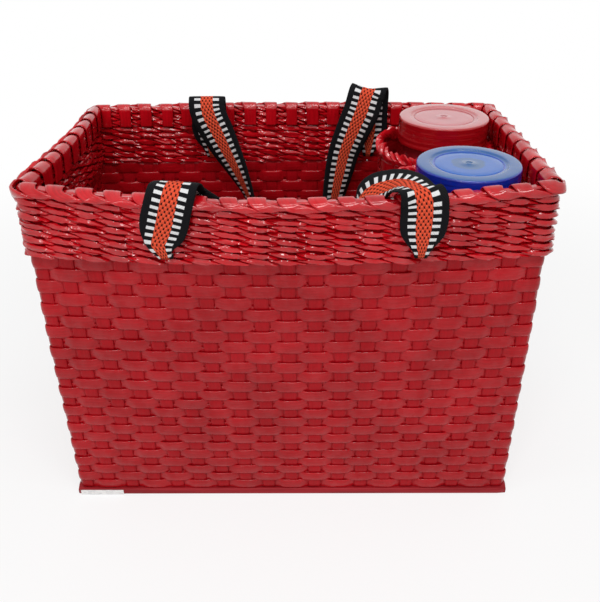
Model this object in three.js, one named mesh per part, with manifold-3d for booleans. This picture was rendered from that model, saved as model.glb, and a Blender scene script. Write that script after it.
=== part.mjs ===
// Woven lunch basket with a twined rim band, two bottle holders, two strap handles
// and two screw-top bottles. Millimetres, +Z up. X runs along the length of the basket,
// the front wall faces -Y, and the origin is on the floor at the middle of the base.

import * as THREE from "three";
import { mergeVertices } from "three/addons/utils/BufferGeometryUtils.js";
import Module from "manifold-3d";

const wasm = await Module();
wasm.setup();

// Driving sizes

const CLEARANCE = 0.3;

// Basket body. The half sizes are those of the wall's outer face at the rim, and the flares
// are how much further out it stands at the floor.
const BASKET_HEIGHT = 284;
const WALL_HALF_LENGTH = 177.5;
const WALL_HALF_DEPTH = 95;
const FLOOR_FLARE_LENGTH = 8;
const FLOOR_FLARE_DEPTH = 4;
const WALL_THICKNESS = 3.5;
const CORNER_RADIUS = 6;
const CORNER_LEAST_RADIUS = 1;
const FRONT_BULGE = 15;
const BACK_BULGE = 6;

// Base board
const BOARD_THICKNESS = 6;
const BOARD_LIP = 1.5;
const BOARD_CORNER_RADIUS = 3;

// Twined band under the rim
const BAND_HEIGHT = 52;
const BAND_COURSES = 9;
const BAND_OUTER_DEPTH = 6.5;
const BAND_INNER_DEPTH = 2.2;
const STRAND_ROUNDING = 0.15;
const STRAND_SHOULDER = 0.7;
const BAND_FRONT_SAG = 6;

// Weave of the wall. The pitch is that of the stakes along the front and the back.
const STAKES = 56;
const STAKE_PITCH = 19.4;
const WEAVE_ROWS = 24;
const WEAVE_RELIEF = 1.2;
const WEAVE_NARROWING = 0.03;

// Stake ends folded down over the rim
const STAKE_WIDTH = 10;
const STAKE_THICKNESS = 1.2;
const STAKE_TUCK = 18.5;

// Bottle holders, woven tubes of rounded plan
const HOLDER_LENGTH = 96;
const HOLDER_CORNER_RADIUS = 40;
const HOLDER_THICKNESS = 2.5;
const HOLDER_BELOW_STAKE_ENDS = 3.5;
const HOLDER_RIM_HEIGHT = 10;
const HOLDER_TIE_WIDTH = 14;
const HOLDER_TIE_DROP = 24;
const HOLDER_TIE_THICKNESS = 1.2;

// Strap handles
const STRAP_WIDTH = 32;
const STRAP_THICKNESS = 1.8;
const STRAP_GATHERED_WIDTH = 9;
const STRAP_GATHERED_THICKNESS = 3.4;
const STRAP_HOLE_WIDTH = 10;
const STRAP_HOLE_HEIGHT = 4.2;
const STRAP_END_WIDTH = 20;
const STRAP_END_THICKNESS = 5;
const STRAP_END_HEIGHT = 14;
const STRAP_REST_GAP = 0.5;
const STRAP_HOLE_SLACK = 2;

// How a strap spreads above its hole, from gathered to flat: height above the bend, gap to
// the band beyond the clearance, width and thickness
const STRAP_SPREAD = [
  { rise: 0, gap: 1.7, width: 12, thickness: 3.8 },
  { rise: 8, gap: 0.8, width: 25, thickness: 2.4 },
  { rise: 16, gap: 0.2, width: STRAP_WIDTH, thickness: STRAP_THICKNESS },
];
const STRAP_ARCH_FOOT = 6;
const FRONT_LEG_CENTRE = 4.5;
const FRONT_LEG_PAST_HOLDER = 15.68;
const FRONT_ARCH_RADIUS = 9.2;
const FRONT_ARCH_RISE = 2;
const FRONT_LOOP_DROP = 163;
const BACK_LEG_CENTRE = -1.5;
const BACK_LEG_SPACING = 145;
const BACK_ARCH_RADIUS = 4.5;
const BACK_ARCH_RISE = 6;
const BACK_LOOP_DROP = 166;

// Bottles and their lids
const BOTTLE_SIDE_GAP = 2.8;
const BOTTLE_RADIUS = 36.5;
const BOTTLE_WALL = 1.8;
const BOTTLE_FOOT_ROUND = 6;
const BOTTLE_FOOT_BEVEL = 1.6;
const BOTTLE_NECK_ROUND = 2;
const FRONT_BOTTLE_BODY_HEIGHT = 243.5;
const BACK_BOTTLE_BODY_HEIGHT = 246;
const BOTTLE_SHOULDER_HEIGHT = 10;
const BOTTLE_NECK_RADIUS = 33.8;
const BOTTLE_NECK_HEIGHT = 20;
const THREAD_HEIGHT = 2.2;
const THREAD_DEPTH = 1;
const THREAD_PITCH = 7;
const THREAD_ABOVE_SHOULDER = 4;
const LID_RADIUS = 37.6;
const LID_HEIGHT = 21;
const LID_WALL = 1.8;
const LID_TOP_THICKNESS = 2.2;
const LID_RING_HEIGHT = 1.3;
const LID_RING_WIDTH = 10;
const LID_EDGE_ROUND = 1.4;
const LID_RING_SLOPE = 1;
const LINER_THICKNESS = 1.4;

// Paper label on the edge of the base board
const LABEL_LENGTH = 37;
const LABEL_HEIGHT = 5;
const LABEL_THICKNESS = 0.3;
const LABEL_INSET = 3.5;

// Fineness of the curved pieces
const ROUND_STEPS = 36;
const STRAP_STEPS = 100;
const LEG_STEPS = 26;
const LOOP_SMOOTHING = 3;

// Worked-out sizes

const BAND_BOTTOM = BASKET_HEIGHT - BAND_HEIGHT;
const COURSE_PITCH = BAND_HEIGHT / BAND_COURSES;
const WALL_FOOT = BOARD_THICKNESS + CLEARANCE;
const HOLDER_TOP = BASKET_HEIGHT - STAKE_TUCK - HOLDER_BELOW_STAKE_ENDS;
const HALF_TURN = Math.PI;
const QUARTER_TURN = Math.PI / 2;

// Materials

function finish(color, roughness, metalness = 0, opacity = 1) {
  return new THREE.MeshStandardMaterial({
    color, roughness, metalness, opacity, transparent: opacity < 1,
  });
}

const LACQUERED_WEAVE = finish(0xb01c26, 0.4);
const LACQUERED_TWINE = finish(0xc0222c, 0.35);
const LACQUERED_BOARD = finish(0x9c1820, 0.45);
const WEBBING = finish(0x1b1b1d, 0.85);
const BLUE_PLASTIC = finish(0x2c55b8, 0.2, 0, 0.75);
const RED_PLASTIC = finish(0xc8424a, 0.2, 0, 0.75);
const LINER_FOAM = finish(0xe6e4de, 0.6);
const WHITE_PAPER = finish(0xf2f2f0, 0.7);

// Mesh helpers

const parts = new THREE.Group();

function add(name, geometry, material, parent = parts) {
  const mesh = new THREE.Mesh(geometry, material);
  mesh.name = name;
  parent.add(mesh);
  return mesh;
}

// Six times the volume inside an indexed surface, negative when its faces point inwards.
function signedVolume(positions, indices) {
  const a = new THREE.Vector3();
  const b = new THREE.Vector3();
  const c = new THREE.Vector3();
  let total = 0;
  for (let i = 0; i < indices.length; i += 3) {
    a.fromArray(positions, 3 * indices[i]);
    b.fromArray(positions, 3 * indices[i + 1]);
    c.fromArray(positions, 3 * indices[i + 2]);
    total += a.dot(b.cross(c));
  }
  return total;
}

function closedSurface(points, indices) {
  const positions = points.flatMap((p) => [p.x, p.y, p.z]);
  const turned = signedVolume(positions, indices) < 0;
  const faces = turned ? indices.slice().reverse() : indices;
  const geometry = new THREE.BufferGeometry();
  geometry.setAttribute("position", new THREE.Float32BufferAttribute(positions, 3));
  geometry.setIndex(faces);
  geometry.computeVertexNormals();
  return geometry;
}

// Joins rings of points into a skin. Each ring has the same number of points and closes on
// itself. With loop the last ring joins the first, and without it the two ends are capped.
function skin(rings, loop) {
  const count = rings[0].length;
  const indices = [];
  const bands = loop ? rings.length : rings.length - 1;
  for (let i = 0; i < bands; i += 1) {
    const next = (i + 1) % rings.length;
    for (let j = 0; j < count; j += 1) {
      const k = (j + 1) % count;
      const a = i * count + j;
      const b = i * count + k;
      const c = next * count + k;
      const d = next * count + j;
      indices.push(a, b, c, a, c, d);
    }
  }
  if (!loop) {
    const last = (rings.length - 1) * count;
    for (let j = 1; j < count - 1; j += 1) {
      indices.push(0, j + 1, j, last, last + j, last + j + 1);
    }
  }
  return closedSurface(rings.flat(), indices);
}

function toManifold(geometry) {
  const bare = geometry.clone();
  bare.deleteAttribute("normal");
  bare.deleteAttribute("uv");
  const merged = mergeVertices(bare);
  return new wasm.Manifold(new wasm.Mesh({
    numProp: 3,
    vertProperties: new Float32Array(merged.attributes.position.array),
    triVerts: new Uint32Array(merged.index.array),
  }));
}

function fromManifold(solid) {
  const mesh = solid.getMesh();
  const geometry = new THREE.BufferGeometry();
  geometry.setAttribute("position", new THREE.Float32BufferAttribute(mesh.vertProperties, 3));
  geometry.setIndex(Array.from(mesh.triVerts));
  geometry.computeVertexNormals();
  return geometry;
}

function cut(geometry, tools) {
  let solid = toManifold(geometry);
  for (const tool of tools) {
    solid = solid.subtract(toManifold(tool));
  }
  return fromManifold(solid);
}

function block(low, high) {
  const size = new THREE.Vector3().subVectors(high, low);
  const middle = new THREE.Vector3().addVectors(low, high).multiplyScalar(0.5);
  const geometry = new THREE.BoxGeometry(size.x, size.y, size.z);
  geometry.translate(middle.x, middle.y, middle.z);
  return geometry;
}

// Plan of the basket

const mix = THREE.MathUtils.lerp;
const flareAt = (z) => 1 - z / BASKET_HEIGHT;
const halfLengthAt = (z) => WALL_HALF_LENGTH + FLOOR_FLARE_LENGTH * flareAt(z);
const halfDepthAt = (z) => WALL_HALF_DEPTH + FLOOR_FLARE_DEPTH * flareAt(z);
const crown = (x, z) => Math.cos(QUARTER_TURN * Math.min(1, Math.abs(x) / halfLengthAt(z)));
const frontBulge = (x, z) => FRONT_BULGE * (z / BASKET_HEIGHT) * crown(x, z);
const backBulge = (x, z) => BACK_BULGE * (z / BASKET_HEIGHT) * crown(x, z);

// Y of the front and back walls at x and z, moved outwards from the wall's outer face.
const frontY = (x, z, outwards) => -(halfDepthAt(z) + outwards + frontBulge(x, z));
const backY = (x, z, outwards) => halfDepthAt(z) + outwards + backBulge(x, z);

// The front of the band sags in the middle, more the nearer it is to the rim.
function sagged(x, y, z) {
  const share = Math.max(0, (z - BAND_BOTTOM) / BAND_HEIGHT);
  return y < 0 ? z - BAND_FRONT_SAG * share * crown(x, z) : z;
}

// One quarter or straight of a rounded rectangle at a time, from the middle of the left side
// and round by the front. steps gives the points on a long side, a short side and a corner.
function roundedPlan(halfLength, halfDepth, radius, steps) {
  const points = [];
  const dx = halfLength - radius;
  const dy = halfDepth - radius;
  const corners = [
    { x: -dx, y: -dy, from: HALF_TURN, side: steps.long, to: [dx, -halfDepth] },
    { x: dx, y: -dy, from: 3 * QUARTER_TURN, side: steps.short, to: [halfLength, dy] },
    { x: dx, y: dy, from: 0, side: steps.long, to: [-dx, halfDepth] },
    { x: -dx, y: dy, from: QUARTER_TURN, side: steps.short, to: [-halfLength, -dy] },
  ];
  for (const corner of corners) {
    for (let i = 0; i <= steps.corner; i += 1) {
      const angle = corner.from + (QUARTER_TURN * i) / steps.corner;
      points.push([corner.x + radius * Math.cos(angle), corner.y + radius * Math.sin(angle)]);
    }
    const start = points[points.length - 1];
    for (let i = 1; i < corner.side; i += 1) {
      const share = i / corner.side;
      points.push([mix(start[0], corner.to[0], share), mix(start[1], corner.to[1], share)]);
    }
  }
  return points;
}

const BASKET_STEPS = { long: 10, short: 2, corner: 4 };
const HOLDER_STEPS = { long: 1, short: 1, corner: 8 };

function basketPoint(x, y, z) {
  const bulged = y < 0 ? y - frontBulge(x, z) : y + backBulge(x, z);
  return new THREE.Vector3(x, bulged, sagged(x, y, z));
}

const cornerAt = (outwards) => Math.max(CORNER_LEAST_RADIUS, CORNER_RADIUS + outwards);

// A ring round the basket: each profile point is [outwards from the wall's outer face, z].
function basketRing(profile) {
  const loops = profile.map(([outwards, z]) => roundedPlan(
    halfLengthAt(z) + outwards, halfDepthAt(z) + outwards, cornerAt(outwards), BASKET_STEPS,
  ).map(([x, y]) => basketPoint(x, y, z)));
  return skin(loops, true);
}

// Handles: where their legs stand and the holes that they pass through

const HOLE_LOW = BAND_BOTTOM + COURSE_PITCH - CLEARANCE;
const HOLE_HIGH = HOLE_LOW + STRAP_HOLE_HEIGHT;
const HOLE_Z = (HOLE_LOW + HOLE_HIGH) / 2;
const bandInner = -WALL_THICKNESS - BAND_INNER_DEPTH;

// The holders stand at the right end, in what room is left inside the band, or inside the
// foot of the wall if that is narrower. The front handle's right leg stands a set distance
// past their left side, and its left leg mirrors it.
const holderRight = Math.min(
  halfLengthAt(HOLDER_TOP) + bandInner, halfLengthAt(WALL_FOOT) - WALL_THICKNESS,
) - 2 * CLEARANCE;
const holderX = holderRight - HOLDER_LENGTH / 2;
const frontRightLeg = holderX - HOLDER_LENGTH / 2 + FRONT_LEG_PAST_HOLDER;
const frontHalfSpacing = frontRightLeg - FRONT_LEG_CENTRE;
const frontLegs = [FRONT_LEG_CENTRE - frontHalfSpacing, frontRightLeg];
const backLegs = [
  BACK_LEG_CENTRE - BACK_LEG_SPACING / 2, BACK_LEG_CENTRE + BACK_LEG_SPACING / 2,
];

function strapHole(x, low, high) {
  const half = STRAP_HOLE_WIDTH / 2;
  return block(
    new THREE.Vector3(x - half, low, HOLE_LOW),
    new THREE.Vector3(x + half, high, HOLE_HIGH),
  );
}

const farOut = halfDepthAt(0) + FRONT_BULGE + BACK_BULGE + 2 * BAND_OUTER_DEPTH;
const strapHoles = [
  ...frontLegs.map((x) => strapHole(x, -farOut, -WALL_HALF_DEPTH / 2)),
  ...backLegs.map((x) => strapHole(x, WALL_HALF_DEPTH / 2, farOut)),
];

// Base board

function baseBoard() {
  const outline = roundedPlan(
    halfLengthAt(0) + BOARD_LIP, halfDepthAt(0) + BOARD_LIP,
    BOARD_CORNER_RADIUS, { long: 1, short: 1, corner: 6 },
  ).map(([x, y]) => new THREE.Vector2(x, y));
  return new THREE.ExtrudeGeometry(new THREE.Shape(outline), {
    depth: BOARD_THICKNESS, bevelEnabled: false,
  });
}

// Plain woven wall: the stakes and their weavers as one shell, open at the top. A place on it
// is counted in stakes round the basket, from the middle of the front towards the right.

const stakesAlongFront = (2 * (WALL_HALF_LENGTH - CORNER_RADIUS)) / STAKE_PITCH;
const stakesRoundCorner = (QUARTER_TURN * CORNER_RADIUS) / STAKE_PITCH;
const stakesAlongSide = STAKES / 2 - stakesAlongFront - 2 * stakesRoundCorner;
const stretches = [
  stakesAlongFront / 2, stakesRoundCorner, stakesAlongSide, stakesRoundCorner,
  stakesAlongFront, stakesRoundCorner, stakesAlongSide, stakesRoundCorner, stakesAlongFront / 2,
];
const stops = stretches.reduce((sums, stretch) => [...sums, sums.at(-1) + stretch], [0]);
const ACROSS_AT_STOPS = [0, 1, 1, 1, 1, -1, -1, -1, -1, 0];
const BACK_AT_STOPS = [-1, -1, -1, 1, 1, 1, 1, -1, -1, -1];
const FACING_AT_STOPS = [-1, -1, 0, 0, 1, 1, 2, 2, 3, 3];

function wallPoint(place, outwards, z) {
  const turned = (place + STAKES) % STAKES;
  const i = stops.findLastIndex((stop) => stop <= turned);
  const share = (turned - stops[i]) / stretches[i];
  const at = (values) => mix(values[i], values[i + 1], share);
  const radius = cornerAt(outwards);
  const facing = at(FACING_AT_STOPS) * QUARTER_TURN;
  const x = at(ACROSS_AT_STOPS) * (halfLengthAt(z) + outwards - radius);
  const y = at(BACK_AT_STOPS) * (halfDepthAt(z) + outwards - radius);
  return basketPoint(x + radius * Math.cos(facing), y + radius * Math.sin(facing), z);
}

// The rows get lower towards the foot. A weaver stands out where it passes in front of a
// stake, and the next row stands back there; the inner face moves with the outer one.
function wovenWall() {
  const top = BASKET_HEIGHT - CLEARANCE;
  const drop = (BAND_BOTTOM - WALL_FOOT) / WEAVE_ROWS + WEAVE_NARROWING * WEAVE_ROWS;
  const edge = (row) => BAND_BOTTOM - drop * row + WEAVE_NARROWING * row * row;
  const places = [...Array(STAKES).keys()];
  stops.slice(1, -1).forEach((stop, i) => {
    places.push(stop);
    if (i % 2 === 0) {
      places.push(stop + stretches[i + 1] / 2);
    }
  });
  places.sort((a, b) => a - b);
  const woven = (front, rows) => rows.map((row) => places.map((place) => {
    const wave = Math.cos(HALF_TURN * (row + place));
    const back = (WEAVE_RELIEF * (1 + wave)) / 2;
    return wallPoint(place, front - back, (edge(row) + edge(row + 1)) / 2);
  }));
  const plain = (face, z) => places.map((place) => wallPoint(place, face, z));
  const downwards = [...Array(WEAVE_ROWS).keys()];
  const upwards = [...downwards].reverse();
  const shell = skin([
    plain(0, WALL_FOOT), ...woven(0, upwards), plain(0, BAND_BOTTOM), plain(0, top),
    plain(-WALL_THICKNESS, top), plain(-WALL_THICKNESS, BAND_BOTTOM),
    ...woven(WEAVE_RELIEF - WALL_THICKNESS, downwards), plain(-WALL_THICKNESS, WALL_FOOT),
  ], true);
  return cut(shell, strapHoles);
}

// One twined course has two strands: one stands proud of the stakes and one lies behind them.
function courseStrand(index, outside) {
  const low = BAND_BOTTOM + index * COURSE_PITCH;
  const high = low + COURSE_PITCH - CLEARANCE;
  const middle = (low + high) / 2;
  const edge = COURSE_PITCH * STRAND_ROUNDING;
  const shoulder = BAND_OUTER_DEPTH * STRAND_SHOULDER;
  const behind = -WALL_THICKNESS - CLEARANCE;
  const strand = outside
    ? basketRing([
      [CLEARANCE, low], [shoulder, low + edge], [BAND_OUTER_DEPTH, middle],
      [shoulder, high - edge], [CLEARANCE, high],
    ])
    : basketRing([[behind, high], [bandInner, middle], [behind, low]]);
  return high > HOLE_LOW && low < HOLE_HIGH ? cut(strand, strapHoles) : strand;
}

// Rim border: the stakes bend over the rim side by side, and their ends are tucked down
// inside it. The bends touch, so they are one piece with a tongue for each stake.

const borderReach = -bandInner + CLEARANCE;
const borderInside = -borderReach - STAKE_THICKNESS;

// A tongue is centred on its stake and follows the slope of its wall.
function stakeTongue(stake) {
  const half = STAKE_WIDTH / 2 / STAKE_PITCH;
  const rings = [BASKET_HEIGHT + STAKE_THICKNESS, BASKET_HEIGHT - STAKE_TUCK].map((z) => [
    wallPoint(stake - half, -borderReach, z), wallPoint(stake + half, -borderReach, z),
    wallPoint(stake + half, borderInside, z), wallPoint(stake - half, borderInside, z),
  ]);
  return skin(rings, false);
}

// The stakes of the corners have no tongue, as their ends are folded into their neighbours'.
function stakeTongues() {
  const clearOfCorners = (stake) => stops.slice(1, -1).every(
    (stop) => Math.abs(stake - stop) > STAKE_WIDTH / STAKE_PITCH,
  );
  return [...Array(STAKES).keys()].filter(clearOfCorners).map(stakeTongue);
}

function rimBorder() {
  const low = BASKET_HEIGHT + CLEARANCE;
  const high = low + STAKE_THICKNESS;
  let solid = toManifold(basketRing([
    [CLEARANCE, low], [CLEARANCE, high], [borderInside, high], [borderInside, low],
  ]));
  for (const tongue of stakeTongues()) {
    solid = solid.add(toManifold(tongue));
  }
  return fromManifold(solid);
}

// Bottle holders

const bottleX = holderRight - HOLDER_THICKNESS - BOTTLE_SIDE_GAP - BOTTLE_RADIUS;
const bandMiddle = HOLDER_TOP - HOLDER_RIM_HEIGHT;
const roomFront = Math.max(
  frontY(bottleX, bandMiddle, bandInner), frontY(bottleX, WALL_FOOT, -WALL_THICKNESS),
) + 3 * CLEARANCE;
const roomBack = Math.min(
  backY(bottleX, bandMiddle, bandInner), backY(bottleX, WALL_FOOT, -WALL_THICKNESS),
) - 3 * CLEARANCE;
const holderDepth = (roomBack - roomFront - CLEARANCE) / 2;
const holderFrontY = roomFront + holderDepth / 2;
const holderBackY = roomBack - holderDepth / 2;

function holderRing(profile, y) {
  const loops = profile.map(([inwards, z]) => roundedPlan(
    HOLDER_LENGTH / 2 - inwards, holderDepth / 2 - inwards, HOLDER_CORNER_RADIUS - inwards,
    HOLDER_STEPS,
  ).map(([px, py]) => new THREE.Vector3(px + holderX, py + y, z)));
  return skin(loops, true);
}

function holderTube(y) {
  const top = HOLDER_TOP - HOLDER_RIM_HEIGHT - CLEARANCE;
  return holderRing([
    [0, WALL_FOOT], [0, top], [HOLDER_THICKNESS, top], [HOLDER_THICKNESS, WALL_FOOT],
  ], y);
}

function holderRim(y) {
  const low = HOLDER_TOP - HOLDER_RIM_HEIGHT;
  return holderRing([
    [0, low], [0, HOLDER_TOP], [HOLDER_THICKNESS, HOLDER_TOP], [HOLDER_THICKNESS, low],
  ], y);
}

// A strip bent over the two rims where the holders meet, with a leg in each holder
function holderTie(x) {
  const gapMiddle = (holderFrontY + holderBackY) / 2;
  const reach = HOLDER_THICKNESS + (roomBack - roomFront - 2 * holderDepth) / 2 + CLEARANCE;
  const outside = reach + HOLDER_TIE_THICKNESS;
  const low = -HOLDER_TIE_DROP;
  const high = CLEARANCE + HOLDER_TIE_THICKNESS;
  const outline = [
    [-outside, low], [-reach, low], [-reach, CLEARANCE], [reach, CLEARANCE], [reach, low],
    [outside, low], [outside, high], [-outside, high],
  ].map(([across, up]) => new THREE.Vector2(across, up));
  const strip = new THREE.ExtrudeGeometry(new THREE.Shape(outline), {
    depth: HOLDER_TIE_WIDTH, bevelEnabled: false,
  });
  strip.translate(0, 0, -HOLDER_TIE_WIDTH / 2);
  strip.rotateX(QUARTER_TURN);
  strip.rotateZ(QUARTER_TURN);
  strip.translate(x, gapMiddle, HOLDER_TOP);
  return strip;
}

// Straps. A station is { point, side, width, thickness }, with side along the strap's width.
// reach is how many stations to each side settle the direction that a station faces.

function strapSolid(stations, reach = 1) {
  const rings = stations.map((station, i) => {
    const near = Math.max(1, Math.min(reach, i, stations.length - 1 - i));
    const before = stations[Math.max(0, i - near)].point;
    const after = stations[Math.min(stations.length - 1, i + near)].point;
    const along = new THREE.Vector3().subVectors(after, before).normalize();
    const side = station.side.clone().addScaledVector(along, -station.side.dot(along)).normalize();
    const face = new THREE.Vector3().crossVectors(side, along);
    const ring = [[-1, -1], [1, -1], [1, 1], [-1, 1]];
    return ring.map(([s, f]) => station.point.clone()
      .addScaledVector(side, (s * station.width) / 2)
      .addScaledVector(face, (f * station.thickness) / 2));
  });
  return skin(rings, false);
}

// The leg of a handle: through the hole towards -Y, up the band, then over in an arch that
// ends at ARCH_END. inward is +1 where the loop falls towards +Y and -1 towards -Y.
const ARCH_END = THREE.MathUtils.degToRad(22);

function handleLeg(x, inward, archY, archZ, radius, faceAt, startY) {
  const side = new THREE.Vector3(inward, 0, 0);
  const proud = STRAP_THICKNESS / 2 + CLEARANCE;
  const gathered = { width: STRAP_GATHERED_WIDTH, thickness: STRAP_GATHERED_THICKNESS };
  const flat = { width: STRAP_WIDTH, thickness: STRAP_THICKNESS };
  const away = (z, extra) => faceAt(x, z) - proud - extra;
  const bend = HOLE_Z + STRAP_GATHERED_THICKNESS;
  const knots = [
    { y: startY, z: HOLE_Z, ...gathered },
    { y: away(HOLE_Z, -STRAP_HOLE_SLACK), z: HOLE_Z, ...gathered },
    ...STRAP_SPREAD.map(({ rise, gap, width, thickness }) => ({
      y: away(bend + rise, gap), z: bend + rise, width, thickness,
    })),
    { y: archY - inward * radius, z: archZ - STRAP_ARCH_FOOT, ...flat },
  ];
  const stations = knots.map((knot) => ({
    point: new THREE.Vector3(x, knot.y, knot.z), side, width: knot.width, thickness: knot.thickness,
  }));
  const turns = LEG_STEPS - knots.length;
  for (let i = 0; i <= turns; i += 1) {
    const angle = mix(HALF_TURN, ARCH_END, i / turns);
    const y = archY + inward * radius * Math.cos(angle);
    const z = archZ + radius * Math.sin(angle);
    stations.push({ point: new THREE.Vector3(x, y, z), side, ...flat });
  }
  return strapSolid(stations);
}

// The end of the strap, folded over on itself and sewn so that it can't pull through
function strapEnd(x, nearY) {
  const half = STRAP_END_WIDTH / 2;
  return block(
    new THREE.Vector3(x - half, nearY, HOLE_Z - STRAP_END_HEIGHT / 2),
    new THREE.Vector3(x + half, nearY + STRAP_END_THICKNESS, HOLE_Z + STRAP_END_HEIGHT / 2),
  );
}

// The falling part of a handle, from its right leg round its lowest point to its left leg.
// Each knot is [share of the half spacing, strap widths in from where the loop starts, share
// of the drop, and the direction of the strap's width: along X, inwards, up].
// arch lists the angles round the arch, from level, at which the loop's first knots lie.
function fallingLoop(centre, halfSpacing, inward, archY, archZ, radius, drop, arch, right, left) {
  const start = arch.map(THREE.MathUtils.degToRad).map((angle) => ({
    share: 1, q: radius * Math.cos(angle), z: archZ + radius * Math.sin(angle), width: [1, 0, 0],
  }));
  const fall = (knots) => [...start, ...knots.map(([share, widths, fallen, ...width]) => ({
    share, q: radius + widths * STRAP_WIDTH, z: archZ - fallen * drop, width,
  }))];
  const mirrored = fall(left).reverse().map(({ share, q, z, width: [x, y, up] }) => ({
    share: -share, q, z, width: [-x, y, up],
  }));
  const knots = [...fall(right), ...mirrored];
  const path = new THREE.CatmullRomCurve3(knots.map(({ share, q, z }) => new THREE.Vector3(
    centre + share * halfSpacing, archY + inward * q, z,
  )), false, "centripetal");
  const sides = knots.map(({ width: [x, y, up] }) => new THREE.Vector3(inward * x, inward * y, up));
  const stations = [];
  for (let i = 0; i <= STRAP_STEPS; i += 1) {
    const t = path.getUtoTmapping(i / STRAP_STEPS);
    const at = t * (knots.length - 1);
    const low = Math.min(Math.floor(at), knots.length - 2);
    stations.push({
      point: path.getPoint(t),
      side: new THREE.Vector3().lerpVectors(sides[low], sides[low + 1], at - low),
      width: STRAP_WIDTH,
      thickness: STRAP_THICKNESS,
    });
  }
  return strapSolid(stations, LOOP_SMOOTHING);
}

// Bottles

const lidAboveBottle = LINER_THICKNESS + 2 * CLEARANCE + LID_TOP_THICKNESS + LID_RING_HEIGHT
  - LID_HEIGHT;
const bottleSlack = HOLDER_THICKNESS + BOTTLE_RADIUS + 2 * CLEARANCE;

function lathe(profile) {
  const outline = profile.map(([r, z]) => new THREE.Vector2(r, z));
  const geometry = new THREE.LatheGeometry(outline, ROUND_STEPS);
  geometry.rotateX(QUARTER_TURN);
  const bare = geometry.clone();
  bare.deleteAttribute("normal");
  bare.deleteAttribute("uv");
  const merged = mergeVertices(bare, 1e-4);
  const triangles = [];
  const index = merged.index.array;
  for (let i = 0; i < index.length; i += 3) {
    const [a, b, c] = [index[i], index[i + 1], index[i + 2]];
    if (a !== b && b !== c && a !== c) {
      triangles.push(a, b, c);
    }
  }
  const points = [];
  for (let i = 0; i < merged.attributes.position.count; i += 1) {
    points.push(new THREE.Vector3().fromBufferAttribute(merged.attributes.position, i));
  }
  return closedSurface(points, triangles);
}

function bottle(bodyHeight) {
  const r = BOTTLE_RADIUS;
  const neck = BOTTLE_NECK_RADIUS;
  const w = BOTTLE_WALL;
  const foot = BOTTLE_FOOT_ROUND;
  const neckFoot = bodyHeight + BOTTLE_SHOULDER_HEIGHT;
  const top = neckFoot + BOTTLE_NECK_HEIGHT;
  const thread = (z) => [
    [neck, z], [neck + THREAD_DEPTH, z + THREAD_HEIGHT / 2], [neck, z + THREAD_HEIGHT],
  ];
  const threadLow = neckFoot + THREAD_ABOVE_SHOULDER;
  return lathe([
    [0, 0], [r - foot, 0], [r - BOTTLE_FOOT_BEVEL, BOTTLE_FOOT_BEVEL], [r, foot], [r, bodyHeight],
    [neck + BOTTLE_NECK_ROUND / 2, neckFoot - BOTTLE_NECK_ROUND], [neck, neckFoot],
    ...thread(threadLow), ...thread(threadLow + THREAD_PITCH),
    [neck, top], [neck - w, top], [neck - w, neckFoot], [r - w, bodyHeight - w / 2],
    [r - w, foot], [r - foot - w / 2, w], [0, w],
  ]);
}

// The lid's open end is at z 0 and its ring-shaped rim is its highest part.
function lid() {
  const r = LID_RADIUS;
  const inner = r - LID_WALL;
  const plate = LID_HEIGHT - LID_RING_HEIGHT;
  const under = plate - LID_TOP_THICKNESS;
  return lathe([
    [0, under], [inner, under], [inner, 0], [r, 0], [r, plate - LID_RING_SLOPE],
    [r - LID_EDGE_ROUND, LID_HEIGHT], [r - LID_RING_WIDTH, LID_HEIGHT],
    [r - LID_RING_WIDTH - LID_RING_SLOPE, plate], [0, plate],
  ]);
}

function liner() {
  const r = BOTTLE_NECK_RADIUS;
  return lathe([[0, 0], [r, 0], [r, LINER_THICKNESS], [0, LINER_THICKNESS]]);
}

// Assembly of the basket

add("base_board", baseBoard(), LACQUERED_BOARD);
add("woven_wall", wovenWall(), LACQUERED_WEAVE);
for (let i = 0; i < BAND_COURSES; i += 1) {
  const number = String(i + 1).padStart(2, "0");
  add(`band_course_${number}_outer`, courseStrand(i, true), LACQUERED_TWINE);
  add(`band_course_${number}_inner`, courseStrand(i, false), LACQUERED_TWINE);
}
add("rim_border", rimBorder(), LACQUERED_WEAVE);

add("front_holder_tube", holderTube(holderFrontY), LACQUERED_WEAVE);
add("back_holder_tube", holderTube(holderBackY), LACQUERED_WEAVE);
add("front_holder_rim", holderRim(holderFrontY), LACQUERED_TWINE);
add("back_holder_rim", holderRim(holderBackY), LACQUERED_TWINE);
add("holder_tie", holderTie(holderX), LACQUERED_TWINE);

// Front handle: legs outside the front wall, loop hanging inside it

// The Y of a wall's face where a strap of this width, centred on x, just clears it
const clearOf = (face, x, halfWidth) => [x - halfWidth, x + halfWidth].map(face);
const frontFace = (x, z) => Math.min(
  ...clearOf((at) => frontY(at, z, BAND_OUTER_DEPTH), x, STRAP_WIDTH / 2),
);
const backFace = (x, z) => Math.min(
  ...clearOf((at) => backY(at, z, borderInside), x, STRAP_WIDTH / 2),
);
const legFaceZ = BASKET_HEIGHT - BAND_FRONT_SAG;
const frontArchY = Math.min(...frontLegs.map((x) => frontFace(x, legFaceZ)))
  - STRAP_THICKNESS / 2 - CLEARANCE + FRONT_ARCH_RADIUS;
const frontArchZ = BASKET_HEIGHT + FRONT_ARCH_RISE;
const backArchY = Math.min(...backLegs.map((x) => backFace(x, BASKET_HEIGHT)))
  - STRAP_THICKNESS / 2 - CLEARANCE - BACK_ARCH_RADIUS;
const backArchZ = BASKET_HEIGHT + BACK_ARCH_RISE;
const loopOver = STRAP_THICKNESS + STRAP_REST_GAP;

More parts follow.
